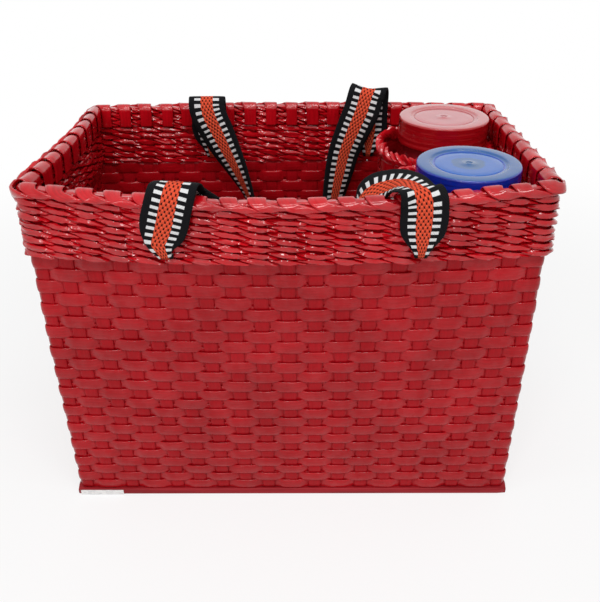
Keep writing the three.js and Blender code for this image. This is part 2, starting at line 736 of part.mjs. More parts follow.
const sides = ["left", "right"];
frontLegs.forEach((x, i) => {
  const inside = Math.max(
    ...clearOf((at) => frontY(at, HOLE_Z, bandInner), x, STRAP_END_WIDTH / 2),
  ) + CLEARANCE;
  add(`front_handle_${sides[i]}_leg`, handleLeg(
    x, 1, frontArchY, frontArchZ, FRONT_ARCH_RADIUS, frontFace, inside,
  ), WEBBING);
  add(`front_handle_${sides[i]}_end`, strapEnd(x, inside + CLEARANCE), WEBBING);
});
add("front_handle_loop", fallingLoop(
  FRONT_LEG_CENTRE, frontHalfSpacing, 1, frontArchY, frontArchZ,
  FRONT_ARCH_RADIUS + loopOver, FRONT_LOOP_DROP, [30, 20, 10, 0],
  [
    [0.921, 0.008, 0.067, 0.905, 0.03, -0.44], [0.75, 0.04, 0.135, 0.7, 0.2, -0.65],
    [0.6, 0.17, 0.22, 0.65, 0.5, -0.5], [0.48, 0.35, 0.35, 0.5, 0.8, -0.25],
    [0.41, 0.5, 0.5, 0.25, 0.95, 0], [0.37, 0.6, 0.66, 0.05, 1, 0], [0.31, 0.66, 0.82, 0, 1, 0],
    [0.2, 0.69, 0.95, 0, 1, 0], [0, 0.7, 1, 0, 1, 0],
  ],
  [
    [0.921, 0.008, 0.067, 0.905, 0.03, -0.44], [0.76, 0.03, 0.147, 0.72, 0.2, -0.6],
    [0.61, 0.17, 0.264, 0.65, 0.55, -0.4], [0.5, 0.38, 0.4, 0.5, 0.84, -0.2],
    [0.43, 0.52, 0.54, 0.25, 0.95, 0], [0.38, 0.61, 0.69, 0.05, 1, 0], [0.31, 0.66, 0.84, 0, 1, 0],
    [0.2, 0.69, 0.95, 0, 1, 0],
  ],
), WEBBING);

// Back handle: legs inside the back wall, loop falling in front of them

backLegs.forEach((x, i) => {
  const outside = Math.max(
    ...clearOf((at) => backY(at, HOLE_Z, BAND_OUTER_DEPTH), x, STRAP_END_WIDTH / 2),
  ) + CLEARANCE;
  add(`back_handle_${sides[i]}_leg`, handleLeg(
    x, -1, backArchY, backArchZ, BACK_ARCH_RADIUS, backFace, outside,
  ), WEBBING);
  add(`back_handle_${sides[i]}_end`, strapEnd(x, outside + CLEARANCE), WEBBING);
});
add("back_handle_loop", fallingLoop(
  BACK_LEG_CENTRE, BACK_LEG_SPACING / 2, -1, backArchY, backArchZ,
  BACK_ARCH_RADIUS + loopOver, BACK_LOOP_DROP, [30, 20, 10, 0],
  [
    [0.97, 0.02, 0.035, 1, 0, 0], [0.87, 0.05, 0.09, 1, 0.1, 0], [0.77, 0.1, 0.16, 0.97, 0.25, 0],
    [0.68, 0.17, 0.25, 0.92, 0.4, 0], [0.62, 0.26, 0.37, 0.84, 0.54, 0],
    [0.57, 0.34, 0.48, 0.72, 0.7, 0], [0.5, 0.43, 0.64, 0.45, 0.9, 0],
    [0.43, 0.51, 0.78, 0.2, 1, 0], [0.35, 0.55, 0.89, 0, 1, 0], [0.2, 0.57, 0.975, 0, 1, 0],
    [0, 0.57, 1, 0, 1, 0],
  ],
  [
    [0.98, 0.03, 0.05, 1, 0.05, 0], [0.9, 0.08, 0.13, 0.97, 0.2, 0],
    [0.8, 0.15, 0.225, 0.9, 0.4, 0], [0.66, 0.25, 0.35, 0.74, 0.67, 0],
    [0.55, 0.34, 0.46, 0.52, 0.85, 0], [0.47, 0.42, 0.57, 0.3, 0.95, 0],
    [0.42, 0.48, 0.68, 0.13, 1, 0], [0.38, 0.53, 0.8, 0, 1, 0], [0.32, 0.56, 0.9, 0, 1, 0],
    [0.18, 0.57, 0.98, 0, 1, 0],
  ],
), WEBBING);

// Bottles, lids and liners

const bottles = [
  { end: "front", y: roomFront + bottleSlack, body: FRONT_BOTTLE_BODY_HEIGHT, plastic: BLUE_PLASTIC },
  { end: "back", y: roomBack - bottleSlack, body: BACK_BOTTLE_BODY_HEIGHT, plastic: RED_PLASTIC },
];
for (const { end, y, body, plastic } of bottles) {
  const stand = new THREE.Group();
  stand.position.set(bottleX, y, WALL_FOOT);
  parts.add(stand);
  const bottleHeight = body + BOTTLE_SHOULDER_HEIGHT + BOTTLE_NECK_HEIGHT;
  add(`${end}_bottle`, bottle(body), plastic, stand);
  add(`${end}_lid_liner`, liner(), LINER_FOAM, stand).position.z = bottleHeight + CLEARANCE;
  add(`${end}_lid`, lid(), plastic, stand).position.z = bottleHeight + lidAboveBottle;
}

// Blank paper label

const labelFace = -(halfDepthAt(0) + BOARD_LIP + CLEARANCE);
const labelLeft = -(halfLengthAt(0) + BOARD_LIP) + LABEL_INSET;
const labelLow = (BOARD_THICKNESS - LABEL_HEIGHT) / 2;
add("paper_label", block(
  new THREE.Vector3(labelLeft, labelFace - LABEL_THICKNESS, labelLow),
  new THREE.Vector3(labelLeft + LABEL_LENGTH, labelFace, labelLow + LABEL_HEIGHT),
), WHITE_PAPER);

export default parts;
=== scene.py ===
"""A woven lunch basket with a twined band, two bottle holders and two webbing handles."""
import math
import bpy
import numpy as np
from mathutils import Matrix, Vector


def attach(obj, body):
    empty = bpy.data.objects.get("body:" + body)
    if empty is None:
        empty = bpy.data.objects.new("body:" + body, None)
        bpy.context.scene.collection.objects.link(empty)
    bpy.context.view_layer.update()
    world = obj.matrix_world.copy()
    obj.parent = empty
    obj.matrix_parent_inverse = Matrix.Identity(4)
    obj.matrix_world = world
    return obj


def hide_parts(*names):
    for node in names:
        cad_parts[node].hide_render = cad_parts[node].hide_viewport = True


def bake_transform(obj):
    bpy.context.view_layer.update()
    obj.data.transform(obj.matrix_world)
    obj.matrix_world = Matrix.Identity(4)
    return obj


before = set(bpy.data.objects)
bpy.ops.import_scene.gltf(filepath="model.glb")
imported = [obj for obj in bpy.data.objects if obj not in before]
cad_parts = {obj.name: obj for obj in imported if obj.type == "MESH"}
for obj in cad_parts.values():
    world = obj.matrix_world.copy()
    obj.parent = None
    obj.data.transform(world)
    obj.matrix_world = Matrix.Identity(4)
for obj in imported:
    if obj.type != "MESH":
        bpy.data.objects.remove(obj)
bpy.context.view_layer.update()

# Lengths are in millimetres until a mesh is made.
MM = 0.001
TURN = 2 * math.pi
PATTERN_SHIFT = 37.0
PATTERN_HALF = 5
RIM = 284.0
BOARD_HALF_LENGTH = 187
BOARD_HALF_DEPTH = 100.5
BOARD_TOP = 6.0
WEAVE_FOOT = 6.3
BAND_FOOT = 232.0
SWELL_FULL = 150
SWELL_TOP = BAND_FOOT + 6
SWELL_EDGE = 10
NEAR_MIDDLE = 30
COURSES = 9
COURSE_PITCH = (RIM - BAND_FOOT) / COURSES
STAKES = 56
END_STAKES = 9
STAKE_PITCH = 19.4
STAKE_DEPTH = -1.75
STAKE_WIDTH = 11.0
STAKE_THICK = 1.3
STAKE_TOP = 270
WEAVER_ROWS = 24
WEAVER_THICK = 1.9
FIRST_ROW = 10.12
ROW_NARROWING = 0.03
TWINE_REACH = 5.2
LAST_COURSE_REACH = 2.8
WEBBING_WIDTH = 32
WEBBING_THICK = 1.8
FULL_WEBBING = [WEBBING_WIDTH, WEBBING_THICK, 0, WEBBING_WIDTH]
STRAP_HOLE = 239.6
HOLDER_X = 123.82
HOLDER_HALF_LENGTH = 48
HOLDER_HALF_DEPTH = 46.275
HOLDER_CORNER = 40
HOLDER_STAKES = 16
HOLDER_ROWS = 24
HOLDER_DEPTH = -1.3
HOLDER_FOOT = 6.4
HOLDER_WEAVE_TOP = 257.0
HOLDER_STAKE_TOP = 259
HOLDER_ROPE = 258.0
LASHING = (118.6, -1.65, 252.8)
BOTTLE_X = 130.02
FRONT_BOTTLE_Y = -54.75
BACK_BOTTLE_Y = 51.45


# Shapes

class Plan:
    """A rounded oblong seen from above. u runs round its rim from the middle of the front, z is
    the height and d the distance out of the face. The corner's radius is r = corner + d, and not
    under 1; a point is its place on the oblong within, plus r along the outward direction. Down
    to the foot, its two halves grow by flare (1 - z / rim). The walls then bulge by
    bulge z/rim cos(pi x / 2a), the front and the back each by its own, the middle of the front
    rim sags by sag, and the length shrinks by the share taper towards the back of the rim. Under
    the band it grows by the shares swell to the left and to the right, and the left rim is bowed
    in by bow. stakes are counted along u too, pitch apart on the front and the back and evenly
    spread on the rest."""

    def __init__(self, centre, half_length, half_depth, corner, stakes, pitch=None, flare=(0, 0),
                 bulge=(0, 0), sag=0, taper=0, swell=(0, 0), bow=0):
        self.centre = centre
        self.half = (half_length, half_depth)
        self.corner = corner
        self.stakes = stakes
        self.flare = flare
        self.bulge = bulge
        self.sag = sag
        self.taper = taper
        self.swell = swell
        self.bow = bow
        long = 2 * (half_length - corner)
        deep = 2 * (half_depth - corner)
        quarter = corner * TURN / 4
        lengths = [0, long / 2, quarter, deep, quarter, long, quarter, deep, quarter, long / 2]
        self.stops = np.cumsum(lengths)
        self.round = self.stops[-1]
        pitch = pitch or self.round / stakes
        front, turn = long / pitch, quarter / pitch
        side = stakes / 2 - front - 2 * turn
        self.counts = np.cumsum([0, front / 2, turn, side, turn, front, turn, side, turn, front / 2])

    def along(self, stake):
        """The distance u of a place counted in stakes."""
        lap = np.floor(stake / self.stakes)
        return np.interp(stake - lap * self.stakes, self.counts, self.stops) + lap * self.round

    def place(self, uzd):
        """The points at u, z and d."""
        u, z, d = np.moveaxis(np.asarray(uzd, float), -1, 0)
        u = np.mod(u, self.round)
        opening = 1 - z / RIM
        long = self.half[0] + self.flare[0] * opening
        deep = self.half[1] + self.flare[1] * opening
        r = np.maximum(1, self.corner + d)
        across = np.interp(u, self.stops, [0, 1, 1, 1, 1, -1, -1, -1, -1, 0])
        back = np.interp(u, self.stops, [-1, -1, -1, 1, 1, 1, 1, -1, -1, -1])
        facing = np.interp(u, self.stops, [-1, -1, 0, 0, 1, 1, 2, 2, 3, 3]) * TURN / 4
        x = across * (long + d - r) + r * np.cos(facing)
        y = back * (deep + d - r) + r * np.sin(facing)
        crown = np.cos(TURN / 4 * np.minimum(1, np.abs(x) / long))
        crown = crown * np.clip(np.abs(y) / NEAR_MIDDLE, 0, 1)
        above = np.clip((z - BAND_FOOT) / (RIM - BAND_FOOT), 0, None)
        bulge = np.where(y < 0, -self.bulge[0], self.bulge[1]) * z / RIM * crown
        drop = np.where(y < 0, self.sag * above * crown, 0)
        x = x * (1 - self.taper * (y / deep + 1) / 2 * (z / RIM) ** 2)
        under = np.clip(z / SWELL_FULL, 0, 1) * np.clip((SWELL_TOP - z) / SWELL_EDGE, 0, 1)
        x = x * (1 + under * np.where(x < 0, self.swell[0], self.swell[1]))
        bow = np.cos(TURN / 4 * np.minimum(1, np.abs(y) / deep))
        bow = bow * np.clip(-x / NEAR_MIDDLE, 0, 1)
        x = x + self.bow * bow * (z / RIM) ** 2
        return np.stack([x + self.centre[0], y + bulge + self.centre[1], z - drop], -1)


def holder(y):
    """The plan of a bottle holder with its middle at y."""
    return Plan((HOLDER_X, y), HOLDER_HALF_LENGTH, HOLDER_HALF_DEPTH, HOLDER_CORNER, HOLDER_STAKES)


BASKET = Plan((0, 0), half_length=182, half_depth=95, corner=6, stakes=STAKES, pitch=STAKE_PITCH,
              flare=(3.5, 4), bulge=(15, 6), sag=6, taper=0.027, swell=(0.014, 0.006), bow=4.5)
FRONT_HOLDER = holder(-48.075)
BACK_HOLDER = holder(44.775)


def section(corners, square):
    """A rounded oblong: the cosine and sine of the turn, each to the power square, signs kept."""
    turn = TURN * (np.arange(corners) + 0.5) / corners
    return [np.sign(f(turn)) * np.abs(f(turn)) ** square for f in (np.cos, np.sin)]


def carry(centre, side, lift, width, thick, corners, square, crown=0.0, swell=1.0):
    """Strips carried along paths: centre + swell (side a width/2 + lift (b thick/2 + crown
    (1 - a a))), with a and b from the rounded oblong."""
    a, b = section(corners, square)
    shape = centre.shape[:-1] + (1,)
    full = [np.broadcast_to(v, centre.shape[:-1]).reshape(shape) for v in (width, thick, crown)]
    wide = swell * full[0] / 2 * a
    high = swell * (full[1] / 2 * b + full[2] * (1 - a * a))
    side = np.broadcast_to(side, centre.shape)[..., None, :]
    lift = np.broadcast_to(lift, centre.shape)[..., None, :]
    return centre[..., None, :] + wide[..., None] * side + high[..., None] * lift


def grid(points, ring=False, along=None, across=None):
    """One or more strips of points (strips, stations, corners, 3), closed round their corners,
    and closed along them too where ring is true. along and across are the pattern's own axes;
    without them each strip has its own stretch of it."""
    strips, stations, corners = points.shape[:3]
    if along is None:
        middle = points.mean(2)
        step = np.linalg.norm(np.diff(middle, axis=1, append=middle[:, :1]), axis=-1)
        along = np.concatenate([np.zeros((strips, 1)), np.cumsum(step, 1)], 1)
        along += PATTERN_SHIFT * np.arange(strips)[:, None]
    if across is None:
        across = section(corners, 0.6)[0] * PATTERN_HALF
    across = np.broadcast_to(across, (strips, stations, corners))
    return points, ring, along, across


def skin(cloud, ring, along, across):
    """The faces over one grid, as point numbers with their places in the pattern: first those
    round its strips, then the caps of their ends. About the middle of the grid, faces a, b, c, d
    that point outwards have a sum of a . (b x c + c x d) that is over 0, and otherwise all turn."""
    strips, stations, corners = cloud.shape[:3]
    spans = stations if ring else stations - 1
    k, i, j = np.meshgrid(np.arange(strips), np.arange(spans), np.arange(corners), indexing="ij")
    k, i = np.stack([k] * 4, -1), np.stack([i, i + 1, i + 1, i], -1)
    j = np.stack([j, j, j + 1, j + 1], -1) % corners
    parts = [(k, i, j)]
    if not ring:
        k, j = np.meshgrid(np.arange(strips), np.arange(corners), indexing="ij")
        parts += [(k, np.zeros_like(k), j), (k, np.full_like(k, stations - 1), j[:, ::-1])]
    faces = []
    for k, i, j in parts:
        index = (k * stations + i % stations) * corners + j
        marks = np.stack([along[k, i], across[k, i % stations, j]], -1)
        faces.append((index.reshape(-1, k.shape[-1]), marks.reshape(-1, k.shape[-1], 2)))
    flat = cloud.reshape(-1, 3)
    p = flat[faces[0][0]] - flat.mean(0)
    pair = np.cross(p[:, 1], p[:, 2]) + np.cross(p[:, 2], p[:, 3])
    if np.einsum("ij,ij->", p[:, 0], pair) < 0:
        faces = [(index[:, ::-1], marks[:, ::-1]) for index, marks in faces]
    return faces


def solid(name, *grids, creased=False):
    """Makes one mesh of closed skins over grids, with faces that point outwards. Crumpled paper
    is creased: every edge that runs along its strips is sharp."""
    points, loops, sizes, uvs = [], [], [], []
    base = 0
    for cloud, ring, along, across in grids:
        for index, marks in skin(cloud, ring, along, across):
            loops.append(base + index.ravel())
            sizes.append(np.full(len(index), index.shape[1]))
            uvs.append(marks.reshape(-1, 2))
        points.append(cloud.reshape(-1, 3))
        base += len(points[-1])
    points, loops, sizes, uvs = (np.concatenate(v) for v in (points, loops, sizes, uvs))
    mesh = bpy.data.meshes.new(name)
    mesh.vertices.add(len(points))
    mesh.vertices.foreach_set("co", (points * MM).ravel())
    mesh.loops.add(len(loops))
    mesh.loops.foreach_set("vertex_index", loops.astype(np.int32))
    mesh.polygons.add(len(sizes))
    mesh.polygons.foreach_set("loop_start", (np.cumsum(sizes) - sizes).astype(np.int32))
    mesh.polygons.foreach_set("use_smooth", np.ones(len(sizes), bool))
    mesh.update(calc_edges=True)
    if creased:
        ends = np.empty(2 * len(mesh.edges), np.int32)
        mesh.edges.foreach_get("vertices", ends)
        corner = ends.reshape(-1, 2) % grids[0][0].shape[2]
        sharp = mesh.attributes.new("sharp_edge", "BOOLEAN", "EDGE")
        sharp.data.foreach_set("value", corner[:, 0] == corner[:, 1])
    mesh.uv_layers.new(name="UVMap").data.foreach_set("uv", (uvs * MM).ravel())
    thing = bpy.data.objects.new(name, mesh)
    bpy.context.scene.collection.objects.link(thing)
    return thing


def wobble(dice, rows, crossings, per):
    """A random value from -1 to 1 at each crossing, eased from one to the next round the ring."""
    value = dice.uniform(-1, 1, (rows, crossings))
    at = np.arange(crossings * per) / per
    low = at.astype(int)
    share = (1 - np.cos(math.pi * (at - low))) / 2
    return value[:, low] * (1 - share) + value[:, (low + 1) % crossings] * share


def crumple(dice, strands, crossings, per, corners, amount):
    """How much the paper of each strand swells or shrinks at each corner of its section: 1 plus
    a wobble of the given amount, on its own for each corner."""
    folds = wobble(dice, strands * corners, crossings, per).reshape(strands, corners, -1)
    return 1 + amount * np.moveaxis(folds, 1, 2)


def turned_by(roll):
    """The width and lift directions of a strip that is rolled about its own path."""
    return (np.stack([0 * roll, np.cos(roll), np.sin(roll)], -1),
            np.stack([0 * roll, -np.sin(roll), np.cos(roll)], -1))


def weavers(plan, edges, rows, depth, swing, thick, seed, crown=0.3):
    """Flat strips that pass in front of one stake and behind the next: d = depth + swing
    tanh(2 cos(pi (s + row + 1))) / tanh 2, with s the distance along in stakes. Each is a little
    uneven in its height, its depth and its roll."""
    per = 10
    dice = np.random.default_rng(seed)
    row = np.arange(*rows)[:, None]
    count = len(row)
    s = np.arange(plan.stakes * per) / per
    wave = np.tanh(2 * np.cos(math.pi * (s + row + 1))) / np.tanh(2)
    u = np.broadcast_to(plan.along(s), wave.shape)
    tall = edges[row] - edges[row + 1]
    z = (edges[row] + edges[row + 1]) / 2 + 0.03 * tall * wobble(dice, count, plan.stakes, per)
    d = depth + swing * wave * (1 + 0.2 * wobble(dice, count, plan.stakes, per))
    roll = math.radians(4) * wobble(dice, count, plan.stakes, per) + math.radians(2) * wave
    side, lift = turned_by(roll)
    wide = tall * (1.05 + 0.03 * np.abs(wave))
    strip = carry(np.stack([u, z, d], -1), side, lift, wide, thick, corners=14, square=0.62,
                  crown=crown * wave)
    return grid(plan.place(strip), ring=True)


def uprights(plan, edges, top, depth, width, thick, push=0.5, lean=0.0):
    """Flat stakes that stand in the weave: d = depth + push cos(pi (row + stake - 1/2)), so that
    each one stands out a little where a weaver passes behind it. Near the top of the weave they
    lean out by lean within 12."""
    z = np.linspace(edges[-1], top, 5 * len(edges))
    row = np.interp(z, edges[::-1], np.arange(len(edges))[::-1])
    k = np.arange(plan.stakes)[:, None]
    d = depth + push * np.cos(math.pi * (row - 0.5 + k))
    d = d + lean * np.clip((z - edges[0] + 4) / 12, 0, 1)
    u = np.broadcast_to(plan.along(k), d.shape)
    centre = np.stack([u, np.broadcast_to(z, d.shape), d], -1)
    strip = carry(centre, [1, 0, 0], [0, 0, 1], width, thick, corners=8, square=0.5)
    return grid(plan.place(strip))


def ease(x):
    """0 below 0 and 1 above 1, eased between them: 3 x x - 2 x x x."""
    x = np.clip(x, 0, 1)
    return x * x * (3 - 2 * x)


def float_face(q, tall, reach):
    """The outer face of a twined strand, q stakes from the middle of the float it shows there. The
    face lies at reach - 1.1 |q - 0.12|, and sinks to -0.7 between q = 0.6 and 0.84. Its height is
    tall (1 - 0.88 ease((|q| - 0.1) / 0.72)), taken from above where q > 0 and from below where
    q < 0. Returns the face's depth, its height and how far its middle lies off the course."""
    q = np.mod(q + 1, 2) - 1
    sink = ease((np.abs(q) - 0.6) / 0.24)
    depth = (reach - 1.1 * np.abs(q - 0.12)) * (1 - sink) - 0.7 * sink
    high = tall * (1 - 0.88 * ease((np.abs(q) - 0.1) / 0.72))
    middle = -np.clip(3 * np.sin(math.pi * q), -1, 1) * (tall - high) / 2
    return depth, high, middle


def twined(course):
    """Two strands of crumpled paper that swap between the outside and the inside of the wall. The
    outer face of a strand is float_face of q, its inner face the same of q - 1 turned inside out,
    and its section runs from one to the other. The second strand is one stake on. The last course
    lies further in, under the folded stake ends."""
    per, corners = 16, 14
    dice = np.random.default_rng(700 + course)
    s = np.arange(STAKES * per) / per
    q = np.array([[0.0], [1.0]]) + s
    tall = 5.75 + 0.5 * wobble(dice, 2, STAKES, per)
    reach = LAST_COURSE_REACH if course == COURSES - 1 else TWINE_REACH
    reach = reach + 0.55 * wobble(dice, 2, STAKES, per)
    outer, high, middle = float_face(q, tall, reach)
    inner, back_high, back_middle = float_face(q - 1, tall, TWINE_REACH)
    a, b = section(corners, 0.72)
    share = (1 + b) / 2
    height = BAND_FOOT + COURSE_PITCH * (course + 0.5)
    height = height + 0.6 * wobble(dice, 2, STAKES, per)
    swell = crumple(dice, 2, 2 * STAKES, per // 2, corners, 0.22)
    z = (height + middle)[..., None] * share + (height - back_middle)[..., None] * (1 - share)
    z = z + a / 2 * (high[..., None] * share + back_high[..., None] * (1 - share)) * swell
    d = ((outer - inner) / 2)[..., None] + b * ((outer + inner) / 2)[..., None] * swell
    u = np.broadcast_to(BASKET.along(s)[:, None], z.shape)
    return grid(BASKET.place(np.stack([u, z, d], -1)), ring=True)


def lining(low, high, depth, strips):
    """The paint that closes the holes of the weave: flat strips between the heights low and high,
    in the middle of the wall, all the way round."""
    overlap, thick = 0.6, 0.3
    u = np.linspace(0, BASKET.round, 4 * STAKES + 1)[:-1]
    tall = (high - low) / strips
    z = low + tall * (np.arange(strips)[:, None] + 0.5)
    centre = np.stack(np.broadcast_arrays(u, z, depth), -1)
    strip = carry(centre, [0, 1, 0], [0, 0, 1], tall + overlap, thick, corners=8, square=0.5)
    return grid(BASKET.place(strip), ring=True)


def smooth(knots, steps):
    """Carries every column of the knots along one smooth line: cubic pieces whose slopes are the
    slopes through the neighbouring knots, over the distance between them. The last axis holds
    x, y, z first; the stations are evenly spaced. Returns the stations and their distances."""
    knots = np.asarray(knots, float)
    gap = np.linalg.norm(np.diff(knots[:, :3], axis=0), axis=1)
    at = np.concatenate([[0], np.cumsum(gap)])
    slope = np.gradient(knots, at, axis=0)
    t = np.linspace(0, at[-1], steps)
    i = np.clip(np.searchsorted(at, t, "right") - 1, 0, len(at) - 2)
    w, h = ((t - at[i]) / gap[i])[:, None], gap[i][:, None]
    line = (2 * w**3 - 3 * w**2 + 1) * knots[i] + (w**3 - 2 * w**2 + w) * h * slope[i]
    line += (3 * w**2 - 2 * w**3) * knots[i + 1] + (w**3 - w**2) * h * slope[i + 1]
    return line, t


def folded_stakes():
    """The ends of the stakes, folded over the rim: each comes up inside, bends over the rim and
    leans along the outside, in front of the next stake, till it dips behind the one after. The
    knots run back from there, as u from the stake, z, d, width and thickness. On the basket's two
    ends the strips are wider."""
    dice = np.random.default_rng(41)
    knots = [
        [26.0, 278.6, 0.8, 2.4, 1.6], [22.4, 279.2, 3.4, 4.0, 2.2], [18.0, 279.9, 4.8, 5.2, 2.6],
        [13.0, 280.7, 5.3, 6.0, 2.6], [8.0, 281.6, 5.2, 6.6, 2.4], [4.4, 282.8, 4.6, 8.4, 2.0],
        [2.0, 284.4, 2.8, 11.0, 1.7], [0.4, 285.8, -0.4, 12.2, 1.5], [0.0, 285.9, -3.0, 12.2, 1.4],
        [0.0, 283.8, -5.6, 11.8, 1.3], [0.0, 278.5, -6.3, 11.0, 1.1], [0.0, 272.5, -6.2, 10.8, 1.0],
        [0.0, 266.8, -5.9, 10.6, 1.0],
    ]
    corners, crossings, per = 10, 11, 4
    line, _ = smooth(knots, crossings * per)
    line = np.broadcast_to(line, (STAKES,) + line.shape).copy()
    outside = np.clip(line[..., 0] / 20, 0, 1)
    own = dice.uniform(-1, 1, (6, STAKES, 1))
    at_end = np.abs(np.abs(np.arange(STAKES) - STAKES / 2) - STAKES / 4) < END_STAKES / 2
    line[..., 3] *= 1 + 0.08 * own[0] + 0.4 * at_end[:, None]
    line[..., 1] += 0.8 * own[1] * (0.3 + outside)
    line[..., 2] += 0.5 * own[2] * outside
    line[..., 0] += 0.9 * own[3] * (1 + outside)
    ahead = np.gradient(line[..., :3], axis=1)
    ahead /= np.linalg.norm(ahead, axis=-1, keepdims=True)
    side = np.array([1.0, 0, 0]) - ahead * ahead[..., :1]
    side /= np.linalg.norm(side, axis=-1, keepdims=True)
    lift = np.cross(side, ahead)
    line[..., 0] += BASKET.along(np.arange(STAKES))[:, None]
    folds = wobble(dice, STAKES * corners, crossings, per).reshape(STAKES, corners, -1)
    swell = 1 + 0.16 * np.moveaxis(folds, 1, 2) * (0.3 + 0.7 * outside[..., None])
    strip = carry(line[..., :3], side, lift, line[..., 3], line[..., 4], corners, square=0.6,
                  swell=swell)
    return grid(BASKET.place(strip))


def rope(plan, height, rise, seed):
    """The rim of a bottle holder: three crumpled strands twisted into a rope along the plan. It
    rises by rise (1 - sin of the turn) / 2, most on its left side."""
    dice = np.random.default_rng(seed)
    strands, per, turns, corners = 3, 14, 15, 10
    s = np.arange(turns * per) / per
    phase = TURN * (s + np.arange(strands)[:, None] / strands)
    size = wobble(dice, strands, turns, per)
    z = height + rise * (1 - np.sin(TURN * s / turns)) / 2
    z = z + (3.1 + 0.9 * size) * np.cos(phase)
    d = -1.4 + (1.4 + 0.4 * size) * np.sin(phase)
    side, lift = turned_by(0.5 * np.sin(phase) + 0.5 * wobble(dice, strands, turns, per))
    u = np.broadcast_to(s * plan.round / turns, z.shape)
    swell = crumple(dice, strands, 2 * turns, per // 2, corners, 0.24)
    wide = 6.2 + 1.4 * size
    strand = carry(np.stack([u, z, d], -1), side, lift, wide, thick=3.6, corners=corners,
                   square=0.7, swell=swell)
    return grid(plan.place(strand), ring=True)


def tie():
    """The lashing that holds the two holders together: four flat loops round both rims, each an
    oval in the Y-Z plane, skewed along X by the cosine of its turn."""
    loops, stations = 4, 40
    first, middle, height = LASHING
    turn = TURN * np.arange(stations) / stations
    k = np.arange(loops)[:, None]
    x = first + 3.5 * k + (1.6 - 0.9 * k) * np.cos(turn) + 0.4 * np.sin(3 * turn + k)
    y = middle + 4.0 * np.sign(np.sin(turn)) * np.abs(np.sin(turn)) ** 0.7 + 0 * x
    tall = 12.6 + 0.7 * np.sin(2 * k)
    z = height + tall * np.sign(np.cos(turn)) * np.abs(np.cos(turn)) ** 0.8
    centre = np.stack([x, y, z], -1)
    ahead = np.roll(centre, -1, 1) - np.roll(centre, 1, 1)
    ahead /= np.linalg.norm(ahead, axis=-1, keepdims=True)
    side = np.array([1.0, 0, 0]) - ahead * ahead[..., :1]
    side /= np.linalg.norm(side, axis=-1, keepdims=True)
    lift = np.cross(side, ahead)
    strip = carry(centre, side, lift, width=4.2, thick=1.3, corners=8, square=0.6)
    return grid(strip, ring=True)


def slab(half_length, half_depth, corner, low, high, bevel):
    """A flat board with rounded corners and edges: the plan's outline, drawn in by
    bevel (1 - sin t) at its edges while the height rises by bevel (1 - cos t)."""
    plan = Plan((0, 0), half_length, half_depth, corner, 1)
    turn = np.linspace(0, TURN / 4, 6)
    inward = bevel * np.concatenate([1 - np.sin(turn), 1 - np.cos(turn)])
    height = np.concatenate([low + bevel * (1 - np.cos(turn)), high - bevel * (1 - np.sin(turn))])
    u = np.linspace(0, plan.round, 161)[:-1]
    uzd = np.stack(np.broadcast_arrays(u[None], height[:, None], -inward[:, None]), -1)
    return grid(plan.place(uzd)[None], across=np.zeros(1))


def turned(profile, centre, steps=96):
    """A turned form: each (radius, height) of the profile carried once round the centre."""
    r, z = np.asarray(profile, float).T[..., None]
    turn = TURN * np.arange(steps) / steps
    x, y = centre[0] + r * np.cos(turn), centre[1] + r * np.sin(turn)
    points = np.stack(np.broadcast_arrays(x, y, z), -1)
    along = np.concatenate([r[:, 0], r[-1:, 0]])[None]
    across = np.broadcast_to(z[None], (1, len(z), steps))
    return grid(points[None], along=along, across=across)


def fillet(start, corner, end, steps=5):
    """A rounded corner: (1-t)(1-t) start + 2 t (1-t) corner + t t end."""
    t = np.linspace(0, 1, steps)[:, None]
    start, corner, end = (np.array(v, float) for v in (start, corner, end))
    return list((1 - t) ** 2 * start + 2 * t * (1 - t) * corner + t**2 * end)


def lid_profile(foot):
    """The cap, from the middle of its underside round the skirt to the middle of its top: a
    plain skirt with faint ribs, a raised outer ring, a groove, a slightly lower disc and a pip."""
    pole, bore, roof, edge, disc, ring = 0.3, 35.8, 17.5, 37.6, 19.7, 21.0
    rib = np.linspace(0, 1, 49)
    ribs = 0.1 * np.cos(TURN * 3 * rib) ** 3 * (rib < 0.85)
    skirt = np.stack([37.46 + ribs + 0.1 * (1 - rib), 1.6 + 16.6 * rib], -1)
    profile = [(pole, roof), (12, roof), (30, roof), (35.3, roof)]
    profile += fillet((35.5, roof), (bore, roof), (bore, 17.1), 4)
    profile += [(bore, 9), (bore, 0.6)] + fillet((bore, 0.5), (bore, 0), (36.4, 0), 4)
    profile += fillet((36.9, 0), (edge, 0), (edge, 0.7), 5) + [tuple(p) for p in skirt]
    profile += fillet((37.55, 18.9), (37.55, 20.6), (35.6, 20.85), 8)
    profile += [(33, ring), (30.5, ring)] + fillet((29, 20.95), (28, 20.9), (27.6, 20.1), 5)
    profile += [(27.2, 19.75), (25.6, disc), (25.2, 19.6), (24.9, 19.15), (24.5, 19.1), (24.2, 19.6)]
    profile += [(23.8, 19.72), (18, disc), (9, disc), (1.6, disc)]
    profile += [(1.2, 19.95), (0.8, 20.0), (pole, 20.0)]
    return [(r, foot + z) for r, z in profile]


